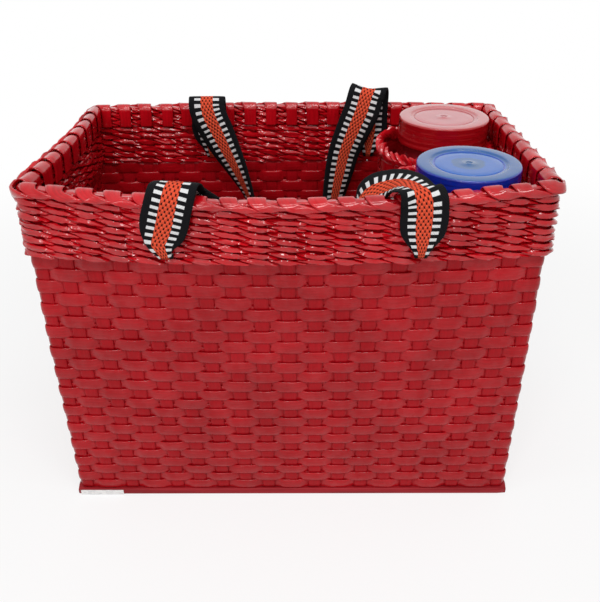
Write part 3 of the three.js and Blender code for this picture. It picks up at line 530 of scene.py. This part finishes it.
def bottle_profile(body):
    """The bottle, from the middle of its inside floor up the inner wall, over the mouth, down
    the threads, shoulder and body, and across its underside."""
    pole, foot, wall, radius, neck, pitch = 0.3, WEAVE_FOOT, 1.8, 36.5, 33.8, 7
    bore, throat = radius - wall, neck - wall
    shoulder = foot + body
    root = shoulder + 10
    mouth = root + 20
    inner = [(pole, foot + 3.2), (14, foot + 3.2), (24, foot + 2.6)]
    inner += fillet((28.7, foot + wall), (bore, foot + wall), (bore, foot + 7.8), 7)
    inner += [(bore, foot + 90), (bore, foot + 180)]
    inner += fillet((bore, shoulder - 4), (bore, root - 6), (throat, root - 1), 6)
    inner += [(throat, root + 6)]
    inner += fillet((throat, mouth - 0.6), (throat, mouth), (32.7, mouth), 4)
    outer = fillet((33.2, mouth), (neck, mouth), (neck, mouth - 0.6), 4)
    screw = np.linspace(mouth - 1.2, root + 2, 60)
    at = (screw - root - 5.1 + pitch / 2) % pitch - pitch / 2
    bump = np.clip(1 - (at / 1.5) ** 2, 0, 1) ** 0.7 * (screw > root + 3.4) * (screw < mouth - 2.2)
    outer += list(np.stack([neck + 0.95 * bump, screw], -1))
    outer += fillet((neck, root), (neck + 0.1, root - 3), (35.2, root - 6), 5)
    outer += fillet((35.8, root - 7.5), (radius, root - 10), (radius, shoulder - 7), 6)
    outer += [(radius, foot + 200), (radius, foot + 120), (radius, foot + 40)]
    outer += fillet((radius, foot + 6), (radius, foot), (30.5, foot), 8)
    outer += [(28, foot + 0.1), (25, foot + 1.1), (14, foot + 1.6), (pole, foot + 1.6)]
    return inner + outer


def ribbon(knots, steps):
    """Webbing carried along knots of place, width direction, width, thickness and the part of
    the pattern's width that shows, from 0 to 32. A knot that ends after the width direction has
    all of the webbing's width, thickness and pattern."""
    corners, square = 14, 0.45
    line, at = smooth([knot + FULL_WEBBING[len(knot) - 6:] for knot in knots], steps)
    ahead = np.gradient(line[:, :3], axis=0)
    ahead /= np.linalg.norm(ahead, axis=1, keepdims=True)
    side = line[:, 3:6] - ahead * (line[:, 3:6] * ahead).sum(1, keepdims=True)
    side /= np.linalg.norm(side, axis=1, keepdims=True)
    lift = np.cross(side, ahead)
    a = section(corners, square)[0]
    shape = carry(line[None, :, :3], side[None], lift[None], line[:, 6], line[:, 7], corners, square)
    low, high = line[:, 8, None], line[:, 9, None]
    across = (low + (a + 1) / 2 * (high - low))[None]
    return grid(shape, along=np.append(at, at[-1])[None], across=across)


def strap_end(x, y):
    """The end of a strap, folded twice on itself and sewn: an S of three layers in Y-Z."""
    tall, apart, thick = 6.6, 1.65, 1.5
    knots = []
    for layer, (rise, across) in enumerate([(1, apart), (-1, 0.0), (1, -apart)]):
        for share in (-0.72, 0, 0.72):
            spot = [x, y + across + 0.15 * share, STRAP_HOLE + rise * share * tall]
            knots.append(spot + [1, 0, 0, 20, thick, 0, WEBBING_WIDTH])
        if layer < 2:
            fold = [x, y + across - 0.82, STRAP_HOLE + rise * tall]
            knots.append(fold + [1, 0, 0, 19.5, thick, 0, WEBBING_WIDTH])
    return ribbon(knots, 40)


# Materials

class Wire:
    """A socket that plain arithmetic can be done on."""

    def __init__(self, finish, socket):
        self.finish = finish
        self.socket = socket

    def maths(self, operation, *others):
        sockets = dict(enumerate((self,) + others))
        return self.finish.wire("Math", 0, {"operation": operation}, sockets)

    def __add__(self, other):
        return self.maths("ADD", other)

    def __mul__(self, other):
        return self.maths("MULTIPLY", other)

    def __sub__(self, other):
        return self.maths("SUBTRACT", other)

    def __rsub__(self, other):
        return self * -1 + other

    def __truediv__(self, other):
        return self.maths("DIVIDE", other)

    def __abs__(self):
        return self.maths("ABSOLUTE")

    __radd__ = __add__
    __rmul__ = __mul__

    def fract(self):
        return self.maths("FRACT")

    def sine(self):
        return self.maths("SINE")

    def least(self, other):
        return self.maths("MINIMUM", other)

    def most(self, other):
        return self.maths("MAXIMUM", other)

    def between(self, low, high):
        """0 below low and 1 above high, eased between them."""
        sockets = {0: self, 1: low, 2: high}
        return self.finish.wire("MapRange", 0, {"interpolation_type": "SMOOTHSTEP"}, sockets)


class Finish:
    """The nodes of a material or of the world, being made."""

    def __init__(self, owner):
        self.owner = owner
        self.owner.use_nodes = True
        self.tree = self.owner.node_tree
        self.tree.nodes.clear()

    def add(self, kind, settings=None, sockets=None):
        node = self.tree.nodes.new("ShaderNode" + kind)
        for key, value in (settings or {}).items():
            setattr(node, key, value)
        for key, value in (sockets or {}).items():
            if isinstance(value, Wire):
                self.tree.links.new(value.socket, node.inputs[key])
            else:
                node.inputs[key].default_value = value
        return node

    def wire(self, kind, output, settings=None, sockets=None):
        return Wire(self, self.add(kind, settings, sockets).outputs[output])

    def place(self, scale=(1, 1, 1), source="Object"):
        spot = self.wire("TexCoord", source)
        return self.wire("Mapping", "Vector", {}, {"Vector": spot, "Scale": scale})

    def axes(self):
        """The two numbers of a place in the piece's own pattern, in millimetres."""
        spot = self.add("SeparateXYZ", {}, {0: self.wire("TexCoord", "UV")})
        return Wire(self, spot.outputs[0]) * (1 / MM), Wire(self, spot.outputs[1]) * (1 / MM)

    def noise(self, vector, scale, detail=2.0, rough=0.5):
        sockets = {"Vector": vector, "Scale": scale, "Detail": detail, "Roughness": rough}
        return self.wire("TexNoise", 0, {}, sockets)

    def mix(self, factor, first, second):
        return self.wire("Mix", 2, {"data_type": "RGBA"}, {0: factor, 6: first, 7: second})

    def bump(self, height, distance):
        sockets = {"Height": height, "Distance": distance, "Strength": 1.0}
        return self.wire("Bump", "Normal", {}, sockets)

    def shown_directly(self):
        """1 for what the camera sees by itself, in a reflection or through glass, otherwise 0."""
        rays = self.add("LightPath")
        camera, glossy, through = (
            Wire(self, rays.outputs[f"Is {kind} Ray"]) for kind in ("Camera", "Glossy", "Transmission")
        )
        return camera.most(glossy).most(through)

    def put_out(self, shader, kind="OutputMaterial"):
        self.add(kind, {}, {0: shader})
        return self.owner

    def done(self, **sockets):
        named = {key.replace("_", " "): value for key, value in sockets.items()}
        return self.put_out(self.wire("BsdfPrincipled", 0, {}, named))


def colour(red, green, blue):
    """A colour as it is seen, 0 to 255, made linear."""
    def linear(v):
        v /= 255
        return v / 12.92 if v <= 0.04045 else ((v + 0.055) / 1.055) ** 2.4
    return linear(red), linear(green), linear(blue), 1.0


def shade(tint, share):
    """A linear colour made darker: each part times the share."""
    return tuple(share * part for part in tint[:3]) + (1,)


def lacquer(name, deep, full, gloss, coat, folds=0.35, depth=0.0006):
    """Paper cane under thick brushed paint: slow changes of red, streaks along the strip, small
    pits and drips, and a gloss that comes and goes."""
    f = Finish(bpy.data.materials.new(name))
    slow = f.noise(f.place(), 26, 3)
    streak = f.noise(f.place((55, 700, 1), "UV"), 1, 4, 0.6)
    pits = f.noise(f.place(), 420, 3, 0.6)
    drips = f.noise(f.place(), 130, 2)
    mixed = f.mix((slow * 0.7 + streak * 0.6 - 0.15).between(0.25, 0.8), deep, full)
    tint = f.mix(pits.between(0.62, 0.75) * 0.3, mixed, shade(deep, 0.55))
    rough = gloss + 0.16 * drips + 0.1 * streak - 0.1
    height = streak * folds + drips * 0.5 + pits * 0.12
    return f.done(Base_Color=tint, Roughness=rough, Coat_Weight=coat * drips * 2,
                  Coat_Roughness=0.12, Specular_IOR_Level=0.1, Normal=f.bump(height, depth))


def painted_board():
    """The painted foot board: brush marks along its length over fine grain."""
    f = Finish(bpy.data.materials.new("painted_board"))
    brush = f.noise(f.place((9, 160, 160)), 1, 4, 0.6)
    grain = f.noise(f.place((60, 500, 500)), 1, 3)
    tint = f.mix(brush.between(0.3, 0.7), colour(132, 24, 30), colour(158, 32, 40))
    return f.done(Base_Color=tint, Roughness=0.34 + 0.2 * grain, Specular_IOR_Level=0.16,
                  Normal=f.bump(brush * 0.6 + grain * 0.4, 0.0004))


def webbing():
    """Woven strap, across its 32 mm: black edge, dashes, orange lattice, dashes, black edge. The
    dashes are half white, 5 mm apart. The lattice is two sets of slanting strands with dark holes
    between them, 3.1 mm apart across and every 2.5 mm along, each row half a place on."""
    repeat, strand = 5.0, 3.1
    f = Finish(bpy.data.materials.new("webbing"))
    along, across = f.axes()
    off = abs(across - WEBBING_WIDTH / 2)
    wool = f.noise(f.place(), 900, 3, 0.6)
    step = (along / repeat).fract()
    dash = step.between(0.48, 0.54) * (1 - step.between(0.94, 1.0))
    one = abs((across / strand + along / repeat).fract() - 0.5)
    two = abs((across / strand - along / repeat).fract() - 0.5)
    seam = 1 - one.least(two).between(0.02, 0.14)
    hole = 1 - (one + two).between(0.27, 0.4)
    orange = f.mix(wool.between(0.3, 0.8) * 0.5, colour(226, 78, 48), colour(244, 112, 80))
    orange = f.mix(seam * 0.45, orange, colour(150, 34, 22))
    orange = f.mix(hole, orange, colour(42, 8, 8))
    white = f.mix(wool * 0.5, colour(232, 232, 232), colour(186, 186, 190))
    black = f.mix(wool * 0.6, colour(6, 6, 8), colour(24, 24, 28))
    edge = off.between(10.7, 11.0)
    lattice = 1 - off.between(5.3, 5.5)
    mixed = f.mix(dash * (1 - edge) * (1 - lattice), black, white)
    mixed = f.mix(lattice, mixed, orange)
    ribs = ((along + off * 0.9) * (TURN / 1.5)).sine() * 0.5 + 0.5
    cells = (one + two) * 1.4 + one.least(two) * 0.8
    stripes = ribs * 0.35 + dash * (1 - edge) * 0.6
    height = lattice * cells + (1 - lattice) * stripes + wool * 0.15
    return f.done(Base_Color=mixed, Roughness=0.72 + 0.15 * wool, Normal=f.bump(height, 0.0006),
                  Specular_IOR_Level=0.12)


def plastic(name, disc, rim, heart, skirt, line, top):
    """Moulded plastic cap, read by its own radius and height: skirt, outer ring, disc and the
    heart of the disc, each in its own colour, with the threads inside showing as lines on the
    skirt, 4.15 mm apart from the height top. The top is painted paler than the skirt: the
    plastic's colour with painted reflection of the white surroundings, greyish on the blue
    cap's ring and heart and pink over the red cap's top. The groove is darkened towards the
    skirt's colour as painted shade, and on the red cap the lines are lighter than the skirt,
    as painted highlights."""
    f = Finish(bpy.data.materials.new(name))
    radius, height = f.axes()
    cloud = f.noise(f.place(), 60, 3)
    wave = f.noise(f.place((30, 120, 30)), 1, 2)
    fine = f.noise(f.place(), 600, 2)
    middle = 1 - (radius + wave * 8).between(15, 17)
    # Disc, heart and ring: the plastic's colour with painted reflection, paler than the skirt.
    flat = f.mix(middle, disc, heart)
    flat = f.mix(cloud.between(0.35, 0.7) * 0.25, flat, shade(disc, 0.8))
    upper = f.mix(radius.between(25.6, 26.2), flat, f.mix(cloud * 0.5, rim, disc))
    # Painted shade in the groove: it is darkened towards the skirt's colour.
    groove = radius.between(24.2, 24.6) * (1 - radius.between(25.2, 25.7))
    upper = f.mix(groove * 0.7, upper, skirt)
    # On the red cap these lines are lighter than the skirt: painted highlights in lines round it.
    thread = ((height - top) * (TURN / 4.15)).sine().between(0.1, 0.9)
    lower = f.mix(thread * cloud.between(0.35, 0.6) * 0.6, skirt, line)
    tint = f.mix(radius.between(36.3, 37.2), upper, lower)
    return f.done(Base_Color=tint, Roughness=0.12 + 0.12 * cloud, Coat_Weight=0.5,
                  Coat_Roughness=0.05, Specular_IOR_Level=0.3, Subsurface_Weight=0.1,
                  Normal=f.bump(fine * 0.2 + cloud * 0.5 + wave * 0.6, 0.0002))


def bottle_plastic(name, full, pale):
    """Clear coloured plastic of the bottles, a little cloudy, with faint moulding waves."""
    f = Finish(bpy.data.materials.new(name))
    cloud = f.noise(f.place((1, 1, 0.3)), 30, 3)
    tint = f.mix(cloud.between(0.3, 0.75), full, pale)
    return f.done(Base_Color=tint, Roughness=0.1 + 0.16 * cloud, Transmission_Weight=0.45,
                  IOR=1.5, Coat_Weight=0.3, Coat_Roughness=0.06, Normal=f.bump(cloud, 0.0006))


def foam():
    """Pale liner foam with fine cells."""
    f = Finish(bpy.data.materials.new("liner_foam"))
    cell = f.noise(f.place(), 1500, 3)
    tint = f.mix(cell, colour(232, 230, 222), colour(210, 206, 196))
    return f.done(Base_Color=tint, Roughness=0.6 + 0.2 * cell, Normal=f.bump(cell, 0.0002))


def paper():
    """Blank white label paper with faint fibres."""
    f = Finish(bpy.data.materials.new("white_paper"))
    fibre = f.noise(f.place((300, 300, 900)), 1, 4)
    tint = f.mix(fibre.between(0.4, 0.7), colour(240, 240, 238), colour(214, 214, 214))
    return f.done(Base_Color=tint, Roughness=0.6 + 0.2 * fibre, Normal=f.bump(fibre, 0.0001))


# Pieces

WALL_PAINT = lacquer("wall_paint", colour(150, 5, 15), colour(180, 13, 25), gloss=0.24, coat=0.35)
BAND_PAINT = lacquer("band_paint", colour(160, 4, 15), colour(208, 14, 28), gloss=0.2, coat=0.8,
                     folds=0.5, depth=0.0004)
ROPE_PAINT = lacquer("rope_paint", colour(172, 6, 18), colour(216, 22, 36), gloss=0.2, coat=0.8,
                     folds=0.5, depth=0.0004)
STAKE_PAINT = lacquer("stake_paint", colour(150, 6, 16), colour(174, 14, 26), gloss=0.32, coat=0.1)
STRAP = webbing()
# Both caps' tops are painted paler than their skirts: the plastic's colour with painted reflection of
# the white surroundings.
BLUE_LID = plastic("blue_plastic", disc=colour(8, 92, 180), rim=colour(44, 86, 136),
                   heart=colour(36, 88, 140), skirt=colour(14, 42, 160),
                   line=colour(10, 26, 112), top=249.6)
# Its line colour is lighter than the skirt: painted highlights round the skirt.
RED_LID = plastic("red_plastic", disc=colour(200, 112, 118), rim=colour(194, 112, 114),
                  heart=colour(196, 108, 114), skirt=colour(160, 8, 18),
                  line=colour(186, 34, 38), top=252.1)


def dress(thing, coating):
    """Gives a piece its material, in place of any that it has."""
    thing.data.materials.clear()
    thing.data.materials.append(coating)


def keep(thing, coating, body, replaced):
    """Gives a piece its material, the body it moves with and the nodes it stands for. A
    strap that bends between two bodies has no body here."""
    dress(thing, coating)
    if body:
        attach(thing, body)
    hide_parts(*replaced)
    return thing


def woven(thing, coating, *replaced):
    """A piece of the basket's weave."""
    return keep(thing, coating, "basket", replaced)


def twisted(thing, coating, *replaced):
    """A piece of twisted paper on the basket."""
    return keep(thing, coating, "basket", replaced)


rows_down = np.arange(WEAVER_ROWS + 1)
wall_edges = BAND_FOOT - FIRST_ROW * rows_down + ROW_NARROWING * rows_down**2
wall_edges[-1] = WEAVE_FOOT
third = WEAVER_ROWS // 3
for low, part in [(0, "upper"), (third, "middle"), (2 * third, "lower")]:
    rows = weavers(BASKET, wall_edges, (low, low + third), STAKE_DEPTH, swing=1.1,
                   thick=WEAVER_THICK, seed=11 + low)
    woven(solid(f"{part}_wall_weave", rows), WALL_PAINT, "woven_wall")
stakes = uprights(BASKET, wall_edges, STAKE_TOP, STAKE_DEPTH, STAKE_WIDTH, STAKE_THICK, lean=1.75)
woven(solid("wall_stakes", stakes), STAKE_PAINT, "woven_wall")
wall_film = lining(WEAVE_FOOT, BAND_FOOT, depth=STAKE_DEPTH - 0.25, strips=12)
band_film = lining(BAND_FOOT, RIM - 2.5, depth=0.0, strips=3)
woven(solid("paint_between_strips", wall_film, band_film), STAKE_PAINT, "woven_wall")
for course in range(COURSES):
    number = f"band_course_{course + 1:02d}"
    strands = solid(f"{number}_strands", twined(course), creased=True)
    twisted(strands, BAND_PAINT, f"{number}_outer", f"{number}_inner")
woven(solid("folded_stake_ends", folded_stakes()), BAND_PAINT, "rim_border")
board = slab(BOARD_HALF_LENGTH, BOARD_HALF_DEPTH, corner=3, low=0, high=BOARD_TOP, bevel=1.3)
keep(solid("foot_board", board), painted_board(), "basket", ["base_board"])

holder_edges = np.linspace(HOLDER_WEAVE_TOP, HOLDER_FOOT, HOLDER_ROWS + 1)
for side, plan, rise, seed in [("front", FRONT_HOLDER, 3, 61), ("back", BACK_HOLDER, 6, 67)]:
    rows = weavers(plan, holder_edges, (0, HOLDER_ROWS), HOLDER_DEPTH, swing=0.7, thick=1.0,
                   seed=seed, crown=0.15)
    posts = uprights(plan, holder_edges, HOLDER_STAKE_TOP, HOLDER_DEPTH, width=10, thick=0.8,
                     push=0.3)
    woven(solid(f"{side}_holder_weave", rows, posts), WALL_PAINT, f"{side}_holder_tube")
    strands = rope(plan, HOLDER_ROPE, rise, seed + 1)
    twisted(solid(f"{side}_holder_rope", strands, creased=True), ROPE_PAINT, f"{side}_holder_rim")
twisted(solid("holder_lashing", tie()), ROPE_PAINT, "holder_tie")


def bottle(side, y, body, lid_foot, lid_plastic, full, pale):
    """A bottle, its lid and the foam inside the lid."""
    middle = (BOTTLE_X, y)
    cap = solid(f"{side}_cap", turned(lid_profile(lid_foot), middle, 128))
    keep(cap, lid_plastic, f"{side}_lid", [f"{side}_lid"])
    shell = solid(f"{side}_bottle_shell", turned(bottle_profile(body), middle))
    clear = bottle_plastic(f"{side}_bottle_plastic", full, pale)
    keep(shell, clear, f"{side}_bottle", [f"{side}_bottle"])
    dress(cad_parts[f"{side}_lid_liner"], foam())


bottle("front", FRONT_BOTTLE_Y, body=243.5, lid_foot=264.3,
       lid_plastic=BLUE_LID, full=colour(24, 54, 170), pale=colour(60, 100, 206))
bottle("back", BACK_BOTTLE_Y, body=246.0, lid_foot=266.8,
       lid_plastic=RED_LID, full=colour(150, 14, 24), pale=colour(180, 40, 48))
dress(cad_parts["paper_label"], paper())

# Each handle from the hole of its right leg to the hole of its left one, as knots of a ribbon.
FRONT_RIBBON = [
    [90.8, -112.8, 239.4, 1, 0, 0, 9, 3.2, 4, 28], [90.8, -113.8, 243.0, 1, 0, 0, 11.5, 3.0, 4, 28],
    [90.7, -114.2, 249.0, 1, 0, 0, 20, 2.4, 2, 30], [90.6, -114.6, 256.0, 1, 0, 0, 29, 1.9, 0, 32],
    [90.5, -114.8, 263.0, 1, 0, 0], [90.3, -115.2, 274.0, 1, 0, 0],
    [89.3, -115.0, 281.2, 0.99, 0, -0.1], [86.8, -112.0, 286.2, 0.97, 0.15, -0.15],
    [82.8, -106.0, 287.0, 0.85, 0.5, 0], [76.0, -95.5, 284.6, 0.5, 0.8, 0.2],
    [67.0, -87.2, 279.0, 0.15, 0.9, 0.42], [58.5, -83.5, 274.0, 0, 0.88, 0.48],
    [52.0, -82.8, 267.0, 0, 0.92, 0.38], [48.8, -82.4, 256.5, 0, 0.98, 0.2],
    [47.4, -82.0, 240.0, 0, 1, 0.05], [45.6, -81.0, 220.0, 0, 1, 0], [42.0, -78.0, 197.0, 0, 1, 0],
    [37.4, -75.2, 173.5, 0, 1, 0], [31.4, -73.6, 149.0, 0, 1, 0], [21.6, -72.6, 131.0, 0, 1, 0],
    [4.5, -72.3, 123.2, 0, 1, 0], [-12.6, -72.6, 131.0, 0, 1, 0], [-22.4, -73.6, 149.0, 0, 1, 0],
    [-27.6, -75.2, 176.0, -0.05, 1, 0], [-31.5, -78.8, 206.0, -0.25, 0.95, 0],
    [-36.5, -83.0, 228.0, -0.4, 0.8, -0.3], [-42.0, -88.0, 246.0, -0.5, 0.55, -0.6],
    [-50.5, -92.5, 260.5, -0.55, 0.3, -0.78], [-58.5, -94.6, 265.8, -0.62, 0.1, -0.77],
    [-67.0, -95.0, 271.8, -0.8, 0, -0.6], [-69.8, -95.6, 277.5, -0.9, 0.1, -0.4],
    [-70.6, -97.4, 284.0, -0.93, 0.25, -0.2], [-71.4, -101.0, 288.4, -0.94, 0.3, -0.08],
    [-72.6, -106.4, 290.0, -0.95, 0.28, 0], [-74.4, -112.4, 287.0, -0.96, 0.12, 0.18],
    [-76.4, -115.2, 281.0, -0.95, 0, 0.3], [-79.0, -115.2, 272.5, -0.95, 0, 0.32, 32.5, 1.8, 0, 32],
    [-81.6, -115.0, 263.5, -0.95, 0, 0.3, 32.5, 1.8, 0, 32],
    [-83.4, -114.6, 255.5, -0.96, 0, 0.25, 29, 1.9, 0, 30],
    [-84.4, -114.4, 248.6, -0.98, 0, 0.15, 21, 2.4, 1, 26],
    [-84.0, -114.0, 243.0, -1, 0, 0, 12, 3.0, 5, 26], [-83.2, -113.0, 239.4, -1, 0, 0, 9, 3.2, 6, 25],
]
BACK_RIBBON = [
    [71.0, 91.4, 240.0, -1, 0, 0, 9, 3.0, 4, 28], [71.0, 90.8, 246.0, -1, 0, 0, 14, 2.4, 3, 29],
    [71.0, 90.7, 254.0, -1, 0, 0, 26, 1.9, 0, 32], [71.0, 90.8, 262.0, -1, 0, 0],
    [71.0, 90.8, 276.0, -1, 0, 0], [71.2, 91.0, 289.0, -1, 0, 0.05], [71.0, 90.4, 297.0, -1, 0, 0.08],
    [69.4, 87.2, 300.8, -1, 0, 0.1], [66.8, 82.8, 298.4, -1, 0, 0.1], [64.6, 80.4, 291.6, -1, 0, 0.05],
    [62.4, 78.9, 284.0, -1, 0, 0], [58.6, 77.9, 275.0, -1, -0.1, 0],
    [53.6, 76.3, 263.4, -0.97, -0.25, 0], [47.8, 74.0, 248.5, -0.92, -0.4, 0],
    [43.4, 71.2, 228.6, -0.84, -0.54, 0], [39.8, 68.6, 210.3, -0.72, -0.7, 0],
    [34.7, 65.7, 183.8, -0.45, -0.9, 0], [29.7, 63.2, 160.5, -0.2, -1, 0],
    [23.9, 61.9, 142.3, 0, -1, 0], [13.0, 61.3, 128.2, 0, -1, 0], [-1.5, 61.3, 124.0, 0, -1, 0],
    [-14.6, 61.3, 127.3, 0, -1, 0], [-24.7, 61.6, 140.6, 0, -1, 0], [-29.0, 62.5, 157.2, 0, -1, 0],
    [-32.0, 64.1, 177.1, 0.13, -1, 0], [-35.6, 66.1, 195.4, 0.3, -0.95, 0],
    [-41.4, 68.6, 213.6, 0.52, -0.85, 0], [-49.3, 71.5, 231.9, 0.74, -0.67, 0],
    [-59.5, 74.7, 252.7, 0.9, -0.4, 0], [-66.8, 76.9, 268.4, 0.97, -0.2, 0],
    [-72.4, 78.5, 281.0, 1, -0.05, 0], [-74.0, 80.2, 288.6, 1, 0, 0], [-74.0, 82.6, 293.2, 1, 0, 0],
    [-74.0, 86.2, 295.0, 1, 0, 0], [-74.0, 89.4, 293.3, 1, 0, 0], [-74.0, 90.8, 288.0, 1, 0, 0],
    [-74.0, 90.8, 276.0, 1, 0, 0], [-74.0, 90.8, 262.0, 1, 0, 0],
    [-74.0, 90.7, 254.0, 1, 0, 0, 26, 1.9, 0, 32], [-74.0, 90.8, 246.0, 1, 0, 0, 14, 2.4, 3, 29],
    [-74.0, 91.4, 240.0, 1, 0, 0, 9, 3.0, 4, 28],
]


def handle(side, knots, legs, inside, outside):
    """One handle: the ribbon, which goes with no body, and its two ends through the holes, which
    go with the basket."""
    strap = keep(solid(f"{side}_strap", ribbon(knots, 420)), STRAP, None,
                 [f"{side}_handle_left_leg", f"{side}_handle_right_leg", f"{side}_handle_loop"])
    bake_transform(strap)
    ends = []
    for x in legs:
        ends.append(strap_end(x, inside))
        through = [[x, inside + (outside - inside) * t, STRAP_HOLE] + [1, 0, 0, 9, 3.1, 4, 28]
                   for t in (0.1, 0.4, 0.7, 1)]
        ends.append(ribbon(through, 14))
    keep(solid(f"{side}_strap_ends", *ends), STRAP, "basket",
         [f"{side}_handle_left_end", f"{side}_handle_right_end"])


handle("front", FRONT_RIBBON, legs=(90.8, -82.4), inside=-95.0, outside=-113.6)
handle("back", BACK_RIBBON, legs=(71.0, -74.0), inside=109.6, outside=91.2)


# Floor, light and camera

WHITE = (1, 1, 1, 1)


def studio_floor():
    """Pale floor that keeps the shadow near the basket, and is white to the camera further out:
    its share of white is 0.72 + 0.28 between(0.35, 0.9) of the distance from the middle."""
    f = Finish(bpy.data.materials.new("studio_floor"))
    matt = f.wire("BsdfDiffuse", 0, {}, {"Color": (0.9, 0.9, 0.9, 1)})
    white = f.wire("Emission", 0, {}, {"Color": WHITE, "Strength": 1.0})
    spot = f.wire("TexCoord", "Object")
    far = f.wire("VectorMath", "Value", {"operation": "LENGTH"}, {0: spot}).between(0.35, 0.9)
    share = f.shown_directly() * (0.72 + 0.28 * far)
    return f.put_out(f.wire("MixShader", 0, {}, {0: share, 1: matt, 2: white}))


def sheet(name, half):
    """A flat square on the ground, in metres."""
    mesh = bpy.data.meshes.new(name)
    corners = [(-half, -half, 0), (half, -half, 0), (half, half, 0), (-half, half, 0)]
    mesh.from_pydata(corners, [], [(0, 1, 2, 3)])
    thing = bpy.data.objects.new(name, mesh)
    bpy.context.scene.collection.objects.link(thing)
    return thing


floor = sheet("floor", 6)
floor.data.materials.append(studio_floor())


def soft_light(name, spot, target, wide, tall, power):
    """An oblong studio lamp that faces the target, in metres and watts."""
    lamp = bpy.data.lights.new(name, "AREA")
    lamp.shape = "RECTANGLE"
    lamp.size = wide
    lamp.size_y = tall
    lamp.energy = power
    thing = bpy.data.objects.new(name, lamp)
    thing.location = spot
    thing.rotation_mode = "QUATERNION"
    thing.rotation_quaternion = (Vector(target) - Vector(spot)).to_track_quat("-Z", "Y")
    bpy.context.scene.collection.objects.link(thing)


soft_light("overhead", (0.12, -0.75, 1.5), (0, 0, 0.2), wide=1.1, tall=0.14, power=9.5)
soft_light("top", (0, -0.25, 1.6), (0, 0, 0.2), wide=0.9, tall=0.1, power=3)
soft_light("front", (-0.45, -1.4, 1.0), (0, 0, 0.15), wide=0.8, tall=0.12, power=4)

world = bpy.data.worlds.new("studio")
bpy.context.scene.world = world
sky = Finish(world)
lit = sky.wire("Background", 0, {}, {"Color": WHITE, "Strength": 0.5})
shown = sky.wire("Background", 0, {}, {"Color": WHITE, "Strength": 1.0})
both = sky.wire("MixShader", 0, {}, {0: sky.shown_directly(), 1: lit, 2: shown})
sky.put_out(both, "OutputWorld")

# The camera, in metres and radians. The lens is in pixels of the picture's longer side.
CAMERA_SPOT = (0.01134, -0.53662, 0.45995)
LENS_PIXELS = 699.8
LONGER_SIDE = 602
SENSOR = 36
camera = bpy.data.cameras.new("camera")
camera.sensor_fit = "AUTO"
camera.sensor_width = SENSOR
camera.lens = LENS_PIXELS / LONGER_SIDE * SENSOR
camera.clip_start = 0.01
viewer = bpy.data.objects.new("camera", camera)
pitch, yaw, roll = 0.543, 0.007, -0.0069
turn = Matrix.Rotation(yaw, 3, "Z")
ahead = turn @ Vector((0, math.cos(pitch), -math.sin(pitch)))
up = turn @ Vector((0, math.sin(pitch), math.cos(pitch)))
right = turn @ Vector((1, 0, 0))
tipped = math.cos(roll) * right + math.sin(roll) * up
up = math.cos(roll) * up - math.sin(roll) * right
right = tipped
facing = Matrix((right, up, -ahead)).transposed().to_4x4()
viewer.matrix_world = Matrix.Translation(CAMERA_SPOT) @ facing
bpy.context.scene.collection.objects.link(viewer)
bpy.context.scene.camera = viewer
bpy.context.scene.view_settings.view_transform = "Standard"
